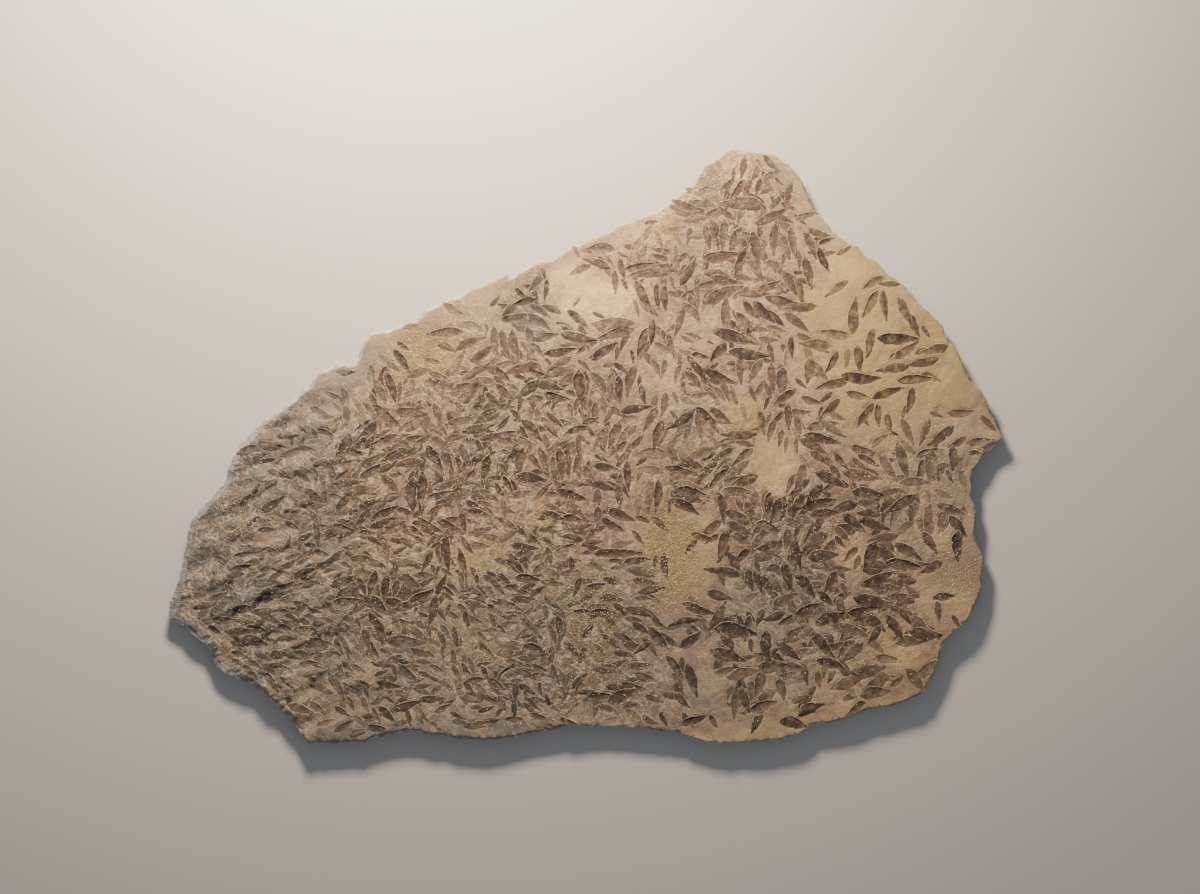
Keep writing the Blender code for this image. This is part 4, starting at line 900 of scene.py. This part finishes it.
def addNode(tree, kind, *inputs, out=None, **settings):
    # the kind may name the node's mode as well ("Math ADD"); inputs and settings hold values, or
    # sockets to link, and the inputs go to the node's sockets in their own order
    kind, *mode = kind.split()
    node = tree.nodes.new("ShaderNode" + kind)
    if kind == "Mix":
        node.data_type = "RGBA"
    for word in mode:
        setattr(node, {"Mix": "blend_type", "MapRange": "interpolation_type"}.get(kind, "operation"), word)
    given = list(zip([socket for socket in node.inputs if socket.enabled], inputs))
    for key, value in settings.items():
        if key in node.inputs:
            given.append((node.inputs[key], value))
        else:
            setattr(node, key, value)
    for socket, value in given:
        if isinstance(value, bpy.types.NodeSocket):
            tree.links.new(value, socket)
        else:
            socket.default_value = value
    return [node.outputs[name] for name in out] if out else next(o for o in node.outputs if o.enabled)


def startTree(tree, *layers):
    # a way to add nodes to the tree, the object's own coordinates and each stored layer's three values
    add = partial(addNode, tree)
    values = [add("Attribute", attribute_name=layer, out=["Vector"])[0] for layer in layers]
    return add, add("TexCoord", out=["Object"])[0], *(add("SeparateXYZ", value, out="XYZ") for value in values)


def layOver(add, colour, look, layers):
    # thin colours laid one over another: name, strength and the patterns that limit it
    for name, strength, *patterns in layers:
        for pattern in patterns:
            strength = add("Math MULTIPLY", pattern, strength)
        colour = add("Mix", strength, colour, hexToLinear(look[name]))
    return colour


def newMaterial(name, look):
    material = bpy.data.materials.new(name)
    material.use_nodes = True
    shader = material.node_tree.nodes["Principled BSDF"]
    for socket, value in (("IOR", look["ior"]), ("Metallic", 0.0), ("Roughness", look["roughness"])):
        shader.inputs[socket].default_value = value
    return material, material.node_tree, shader


def perMm(lump):
    # texture scale whose lumps are this many millimetres across
    return 1000.0 / lump


shale = {
    "tan": "#C5A77A", "dullTan": "#8A7354", "ochre": "#AC955A", "cream": "#F0CC8A", "mauve": "#7B645C",
    "grey": "#6C6A66", "blush": "#B0917A", "dust": "#8A7B69", "organic": "#5E4636", "grit": "#7C6E50",
    "ridge": "#D8CAB2", "crease": "#46352A", "speck": "#5A4838", "underside": "#B9AF9F",
    "roughness": 0.9,        # dry split rock has no gloss
    "ior": 1.56,             # carbonate mud
}


def stoneGroup():
    # calcareous shale, split along the bedding and left dry: tan mud rock with soft mineral stains, fine sandy tooth
    # and thin crinkled ridges where the shoal lies thickest, with painted highlights on their crests and painted shade
    # in their creases
    tree = bpy.data.node_groups.new("beddingStone", "ShaderNodeTree")
    for name, kind in (("Colour", "Color"), ("Height", "Float")):
        tree.interface.new_socket(name=name, in_out="OUTPUT", socket_type="NodeSocket" + kind)
    add, where, (ochre, cream, mauve), (grey, crowded, grit) = startTree(tree, "stainWarm", "stainCool")
    broad = add("TexNoise", where, Scale=perMm(70), Detail=5.0, Roughness=0.6)
    mid = add("TexNoise", where, Scale=perMm(15), Detail=4.0, Roughness=0.6)
    mottle = add("TexNoise", where, Scale=perMm(7), Detail=3.0, Distortion=1.4)
    tooth = add("TexNoise", where, Scale=perMm(2.4), Detail=3.0, Roughness=0.65)
    sand = add("TexVoronoi", where, Scale=perMm(2.6))
    hue = add("VectorMath ADD", where, (1.0, 2.0, 0.0))
    hue = add("TexNoise", hue, Scale=perMm(48), Detail=4.0, Roughness=0.6)
    # thin lines where a warped noise crosses its middle value
    lines = []
    for lump, shift in ((17, 0.0), (12, 3.0)):
        warped = add("VectorMath ADD", where, (shift, shift, shift))
        warped = add("TexNoise", warped, Scale=perMm(lump), Detail=3.0, Distortion=0.8)
        gap = add("Math ABSOLUTE", add("Math SUBTRACT", warped, 0.5))
        lines.append(add("MapRange SMOOTHSTEP", gap, 0.0, 0.035, 1.0, 0.0))
    patchy = add("MapRange", mid, 0.32, 0.62, 0.35, 1.1)
    gritty = add("MapRange", tooth, 0.4, 0.62)
    colour = add("Mix", add("MapRange", broad, 0.35, 0.68), hexToLinear(shale["tan"]), hexToLinear(shale["dullTan"]))
    # the mauve and grey laid over here are partly real stain and partly painted shade, darker towards the bottom and
    # the left end
    colour = layOver(add, colour, shale, (
        ("blush", 0.35, add("MapRange", hue, 0.45, 0.6)), ("dust", 0.5, patchy, crowded),
        ("mauve", 0.75, patchy, mauve), ("ochre", 0.75, patchy, ochre), ("cream", 0.85, patchy, cream),
        ("organic", 0.6, add("MapRange", mottle, 0.46, 0.6), crowded), ("grey", 0.85, patchy, grey),
        # painted shade in the sunk creases and a painted highlight on the raised ridges
        ("grit", 0.7, gritty, grit), ("crease", 0.4, lines[1], crowded), ("ridge", 0.5, lines[0], crowded),
        ("speck", 0.25, add("MapRange", sand, 0.16, 0.1))))
    colour = add("Mix MULTIPLY", 1.0, colour, add("MapRange", tooth, 0.3, 0.7, 0.88, 1.1))
    # height in millimetres
    height = add("Math MULTIPLY", tooth, 0.25)
    for rise, *patterns in ((1.1, mid), (0.9, mottle, crowded), (0.3, lines[0], crowded),
                            (-0.4, lines[1], crowded), (0.6, gritty, grit)):
        for pattern in patterns:
            rise = add("Math MULTIPLY", pattern, rise)
        height = add("Math ADD", height, rise)
    out = tree.nodes.new("NodeGroupOutput")
    for socket, source in zip(out.inputs, (colour, height)):
        tree.links.new(source, socket)
    return tree


def dress(tree, shader, add, colour, height, **more):
    # the colour, the millimetres of relief and any more values of the shader
    bump = add("Bump", Strength=1.0, Distance=mm, Height=height)
    for socket, source in {"Base Color": colour, "Normal": bump, **more}.items():
        tree.links.new(source, shader.inputs[socket])


# the broken edge: colours of its facets and of the layers in the side wall; the palest serves the bruised edge line and
# the painted highlight on the upper left facets
brokenEdge = {"bruiseAndHighlight": "#D6D1C8", "cold": "#7F8790", "shade": "#4F4A46", "band": "#8A7560", "darkBand": "#54473B"}


def splitShale(group):
    # the slab: the bedding face as it split, with a bevel of small cold grey facets, paler at the upper left as a
    # painted highlight, a bruised pale line at the very edge and laminated side walls
    material, tree, shader = newMaterial("calcareousShaleSplit", shale)
    add, where, (gap, share, paintedHighlight), (wall, below, broken) = startTree(tree, "edgeLook", "sideLook")
    stone, relief = add("Group", node_tree=group, out=["Colour", "Height"])
    bruiseAndHighlight, cold, shade, band, darkBand = map(hexToLinear, brokenEdge.values())
    chips = add("TexNoise", where, Scale=perMm(11), Detail=4.0, Roughness=0.7)
    facet = add("Mix", add("MapRange", chips, 0.42, 0.58), shade, cold)
    # painted highlight: the facets turn paler towards the upper left
    facet = add("Mix", add("Math MULTIPLY_ADD", paintedHighlight, 0.25, 0.25), facet, bruiseAndHighlight)
    bevel = add("Math MULTIPLY", add("MapRange", share, 1.0, 0.8, 0.0, 0.65), broken)
    colour = add("Mix", bevel, stone, facet)
    # the bruised line comes and goes, up to 2.5 mm wide
    line = add("Math SUBTRACT", add("MapRange", chips, 0.35, 0.65, -0.9, 2.8), gap)
    line = add("Math MULTIPLY", add("MapRange", line, -0.2, 0.3, 0.0, 0.8), broken)
    colour = add("Mix", line, colour, bruiseAndHighlight)
    # laminae about 1.5 mm thick, running level round the wall
    laminae = add("VectorMath MULTIPLY", where, (0.04, 0.04, 1.0))
    laminae = add("TexNoise", laminae, Scale=perMm(1.6), Detail=3.0, Roughness=0.6)
    layered = add("Mix", add("MapRange", laminae, 0.38, 0.6), darkBand, band)
    layered = add("Mix", 0.3, layered, facet)
    colour = add("Mix", add("MapRange", wall, 0.05, 0.3), colour, layered)
    colour = add("Mix", below, colour, add("Mix MULTIPLY", 0.55, stone, hexToLinear(shale["underside"])))
    ledges = add("Math MULTIPLY", add("Math MULTIPLY", laminae, 1.2), wall)
    chipped = add("Math MULTIPLY", add("Math MULTIPLY", chips, bevel), 1.5)
    dress(tree, shader, add, colour, add("Math ADD", relief, add("Math ADD", ledges, chipped)))
    return material


film = {
    "brown": "#4D3823", "purple": "#4F312C", "grey": "#3D4138", "dark": "#1F140F", "belly": "#6A4E36",
    "lip": "#D0BD9A", "eyeRing": "#9C876A",
    "roughness": 0.72,       # thin phosphate film, a little smoother than the rock
    "ior": 1.6,              # bone apatite
    "ribPitch": 1.5,
    "eye": (0.085, 0.2),     # its place, as shares of the length and the half height
    "gill": 0.225,           # where the gill cover ends
}


def boneFilm(group):
    # carbonised skin and bone pressed flat: brown films with a darker back and an outline darkened partly by painted
    # shade, a dark mottled head, faint ribs and backbone, and the raised lip of rock round each fish, paled by a
    # painted highlight
    material, tree, shader = newMaterial("fossilBoneFilm", film)
    add, where, (along, across, inset), (strength, purple, grey), (dark, long, wide), warm, cool = startTree(
        tree, "filmPlace", "filmLook", "filmBody", "stainWarm", "stainCool")
    stone, relief = add("Group", node_tree=group, out=["Colour", "Height"])
    u, v = add("Math DIVIDE", along, long), add("Math DIVIDE", across, wide)
    ragged = add("TexNoise", where, Scale=perMm(3.2), Detail=3.0)
    flaked = add("TexNoise", where, Scale=perMm(8), Detail=4.0, Roughness=0.6)
    scales = add("TexNoise", where, Scale=perMm(1.4), Detail=2.0)
    # where the film is left on the stone
    edge = add("Math ADD", add("Math MULTIPLY_ADD", ragged, 1.6, -0.55), inset)
    covered = add("MapRange SMOOTHSTEP", edge, -0.25, 0.45, 0.0, 1.0)
    cover = add("Math MULTIPLY", covered, add("MapRange", flaked, 0.36, 0.52, 0.62, 1.0))
    cover = add("Math MULTIPLY", cover, strength)
    # films take on the hue of the stone round them, its mauve and grey included, which are partly painted shade
    tone = add("Math MULTIPLY_ADD", warm[2], 0.6, purple)
    tone = add("Mix", tone, hexToLinear(film["brown"]), hexToLinear(film["purple"]))
    tone = layOver(add, tone, film, [("grey", add("Math MULTIPLY_ADD", cool[0], 0.6, grey))])
    # parts of the body
    line = add("Math ABSOLUTE", add("Math ADD", v, -0.1))
    comb = add("Math MULTIPLY_ADD", add("Math ABSOLUTE", across), 0.7, along)
    comb = add("Math SINE", add("Math MULTIPLY", comb, 2.0 * math.pi / film["ribPitch"]))
    trunk = add("MapRange", u, 0.2, 0.3)
    gill = add("Math MULTIPLY", add("Math MULTIPLY", v, v), 0.035)
    gill = add("Math ABSOLUTE", add("Math ADD", add("Math ADD", gill, u), -film["gill"]))
    # fibres of skin and fin along the body
    fibres = add("CombineXYZ", add("Math MULTIPLY", along, 0.22), across, long)
    fibres = add("TexNoise", fibres, Scale=0.75, Detail=2.0, Distortion=0.4)
    # the eye: dark pit in a pale ring
    places = zip((long, wide), film["eye"], (along, across))
    eye = add("CombineXYZ", *(add("Math MULTIPLY_ADD", size, -share, run) for size, share, run in places))
    eye = add("Math DIVIDE", add("VectorMath LENGTH", eye), wide)
    tone = layOver(add, tone, film, (
        ("belly", 0.5, add("MapRange", v, 0.1, -0.7), trunk),
        ("belly", 0.75, add("MapRange", fibres, 0.52, 0.64)),
        ("dark", 0.6, add("MapRange", fibres, 0.48, 0.36)),
        ("dark", 0.5, dark),
        ("dark", 0.55, add("MapRange", v, 0.2, 0.85)),
        ("dark", 0.4, add("MapRange", line, 0.16, 0.05), trunk),
        ("dark", 0.14, comb, trunk),
        ("dark", 0.65, add("MapRange", u, 0.25, 0.18), add("MapRange", scales, 0.35, 0.6, 0.15, 1.0)),
        ("dark", 0.45, add("MapRange", gill, 0.016, 0.006)),
        # painted shade: the film darkens towards its outline, partly its own edge and partly shade at the step into the
        # stone
        ("dark", 0.2, add("MapRange", inset, 0.9, 0.1)),
        ("eyeRing", add("MapRange", eye, 0.27, 0.22, 0.0, 0.35)),
        ("dark", add("MapRange", eye, 0.16, 0.12, 0.0, 0.35))))
    tone = add("Mix MULTIPLY", 1.0, tone, add("MapRange", scales, 0.3, 0.7, 0.82, 1.18))
    # painted highlight on the raised lip just outside the outline
    rim = add("MapRange", add("Math ABSOLUTE", add("Math ADD", inset, 0.8)), 0.8, 0.1, 0.0, 0.38)
    rim = add("Math MULTIPLY", rim, add("MapRange", flaked, 0.4, 0.6))
    colour = add("Mix", cover, layOver(add, stone, film, [("lip", rim)]), tone)
    gloss = add("MapRange", cover, 0.0, 1.0, shale["roughness"], film["roughness"])
    ribs = add("Math MULTIPLY", add("Math MULTIPLY", comb, trunk), 0.05)
    height = add("Math MULTIPLY", add("Math MULTIPLY_ADD", scales, 0.35, ribs), covered)
    dress(tree, shader, add, colour, add("Math ADD", height, relief), Roughness=gloss)
    return material


calcite = {"honey": "#A38A58", "milk": "#EADBB6", "roughness": 0.35, "ior": 1.66}


def calciteCrystal():
    # tiny calcite crystals grown on the face: milky to honey coloured, with small flat glints
    material, tree, shader = newMaterial("calciteCrystals", calcite)
    add, where = startTree(tree)
    tint = add("MapRange", add("TexNoise", where, Scale=perMm(4), Detail=2.0), 0.35, 0.65)
    colour = add("Mix", tint, hexToLinear(calcite["honey"]), hexToLinear(calcite["milk"]))
    tree.links.new(colour, shader.inputs["Base Color"])
    return material


# spacing of the places where a crystal may sit, their size, the share that stray off the sandy
# patches, how far they stay from the edge and how high they may reach
crystals = {"pitch": 2.6, "size": (0.32, 0.85), "stray": 0.11, "margin": 8.0, "ceiling": 25.05}


def buildCrystals(material):
    spots = scattered(outlineRing, crystals["pitch"], 0.45)
    amount = stainsAt(spots)["stainCool"][:, 2]
    stray = crystals["stray"] * (0.2 + crowdAt(spots)) * (0.15 + 0.85 * smoothStep(140.0, -20.0, spots[:, 1]))
    spots = spots[dice.random(len(spots)) < np.maximum(0.75 * amount ** 1.5, stray)]
    spots = spots[edgeDistance(spots, outlineRing)[0] > crystals["margin"]]
    # half a twenty-sided crystal: its tip and two rings of five corners
    fifths = np.arange(5)
    shape = [(0, 0, 5.0 ** 0.5)]
    for shift, up in ((0.0, 1.0), (0.5, -1.0)):
        shape += [(2.0 * math.cos(a), 2.0 * math.sin(a), up) for a in (fifths + shift) * 0.4 * math.pi]
    shape = np.array(shape) / 5.0 ** 0.5
    sides = [(0, i + 1, (i + 1) % 5 + 1) for i in range(5)]
    for tip, a, b in sides[:5]:
        sides += [(a, a + 5, b), (b, a + 5, b + 5)]
    points, faces = [], []
    for (x, y), z in zip(spots, faceHeight(spots)):
        size = dice.uniform(*crystals["size"]) * dice.uniform(0.75, 1.25, 3) * (1.0, 1.0, 0.75)
        spin = dice.uniform(0.0, 360.0)
        bit = shape * size * dice.uniform(0.85, 1.15, (11, 1))
        bit[:, :2] = turned(bit[:, :2], spin)
        faces += [[len(points) * 11 + i for i in face] for face in sides]
        points.append(bit + (x, y, min(z + 0.15 * size[2], crystals["ceiling"] - 1.15 * size[2])))
    makePiece("calciteCrystals", np.vstack(points), faces, {}, material, smooth=False)


group = stoneGroup()
shaleMaterial, filmMaterial = splitShale(group), boneFilm(group)
print("materials made")
buildSlab(shaleMaterial)
print("slab made")
leftHalf, upperHalf = middle[:, 0] < 0, middle[:, 1] > 0
for name, chosen in {
        "fishScrapsLeft": ~listed & leftHalf,
        "fishScrapsRight": ~listed & ~leftHalf,
        "fishDarkBrown": listed & (tones == "darkBrown"),
        "fishPurpleBrown": listed & np.isin(tones, ("purpleBrown", "redBrown", "paleTan")),
        "fishGreyOlive": listed & np.isin(tones, ("greyOlive", "darkOlive")),
        "fishMidBrownUpper": listed & (tones == "midBrown") & upperHalf,
        "fishMidBrownLower": listed & (tones == "midBrown") & ~upperHalf}.items():
    buildFilms(name, np.flatnonzero(chosen), filmMaterial)
print("films made")
buildCrystals(calciteCrystal())

studio = {
    "floor": "#C8C5BF", "floorSize": 18.0, "gap": 0.0006, "room": "#E2E7EE", "roomStrength": 0.27,
    # place and target in metres, size, watts, colour
    "key": ((-0.22, 1.0, 0.7), (-0.18, 0.8, 0.0), 0.36, 53.0, "#FFECD6"),
    "fill": ((0.9, -1.3, 2.2), (0.0, 0.0, 0.0), 2.4, 4.0, "#D2E0FF"),
}
# what the camera looks at in millimetres, its height and the width it sees in metres
camera = {"aim": (17.4, -0.6), "above": 3.0, "width": 1.44, "sensor": 36.0}


def buildStudio():
    far = studio["floorSize"] / 2.0
    mesh = bpy.data.meshes.new("studioFloor")
    corners = [(x * far, y * far, -studio["gap"]) for x, y in ((-1, -1), (1, -1), (1, 1), (-1, 1))]
    mesh.from_pydata(corners, [], [(0, 1, 2, 3)])
    floor = bpy.data.objects.new("studioFloor", mesh)
    show(floor)
    # matt emulsion paint on board: pale, even, no gloss
    material, tree, shader = newMaterial("mattPaintedBoard", {"roughness": 0.8, "ior": 1.5})
    shader.inputs["Base Color"].default_value = hexToLinear(studio["floor"])
    mesh.materials.append(material)
    for name in ("key", "fill"):
        place, target, size, watts, colour = studio[name]
        data = bpy.data.lights.new(name + "Light", "AREA")
        data.shape, data.size, data.energy, data.color = "DISK", size, watts, hexToLinear(colour)[:3]
        lamp = bpy.data.objects.new(name + "Light", data)
        lamp.location = place
        lamp.rotation_euler = (Vector(target) - Vector(place)).to_track_quat("-Z", "Y").to_euler()
        show(lamp)
    world = bpy.data.worlds.new("room")
    bpy.context.scene.world = world
    world.use_nodes = True
    background = world.node_tree.nodes["Background"].inputs
    background["Color"].default_value = hexToLinear(studio["room"])
    background["Strength"].default_value = studio["roomStrength"]
    lens = bpy.data.cameras.new("plateCamera")
    lens.sensor_width = camera["sensor"]
    lens.lens = camera["sensor"] * (camera["above"] - bedding["thickness"] * mm) / camera["width"]
    view = bpy.data.objects.new("plateCamera", lens)
    view.location = (camera["aim"][0] * mm, camera["aim"][1] * mm, camera["above"])
    show(view)
    bpy.context.scene.camera = view
    print("studio made")


buildStudio()

bpy.context.view_layer.update()
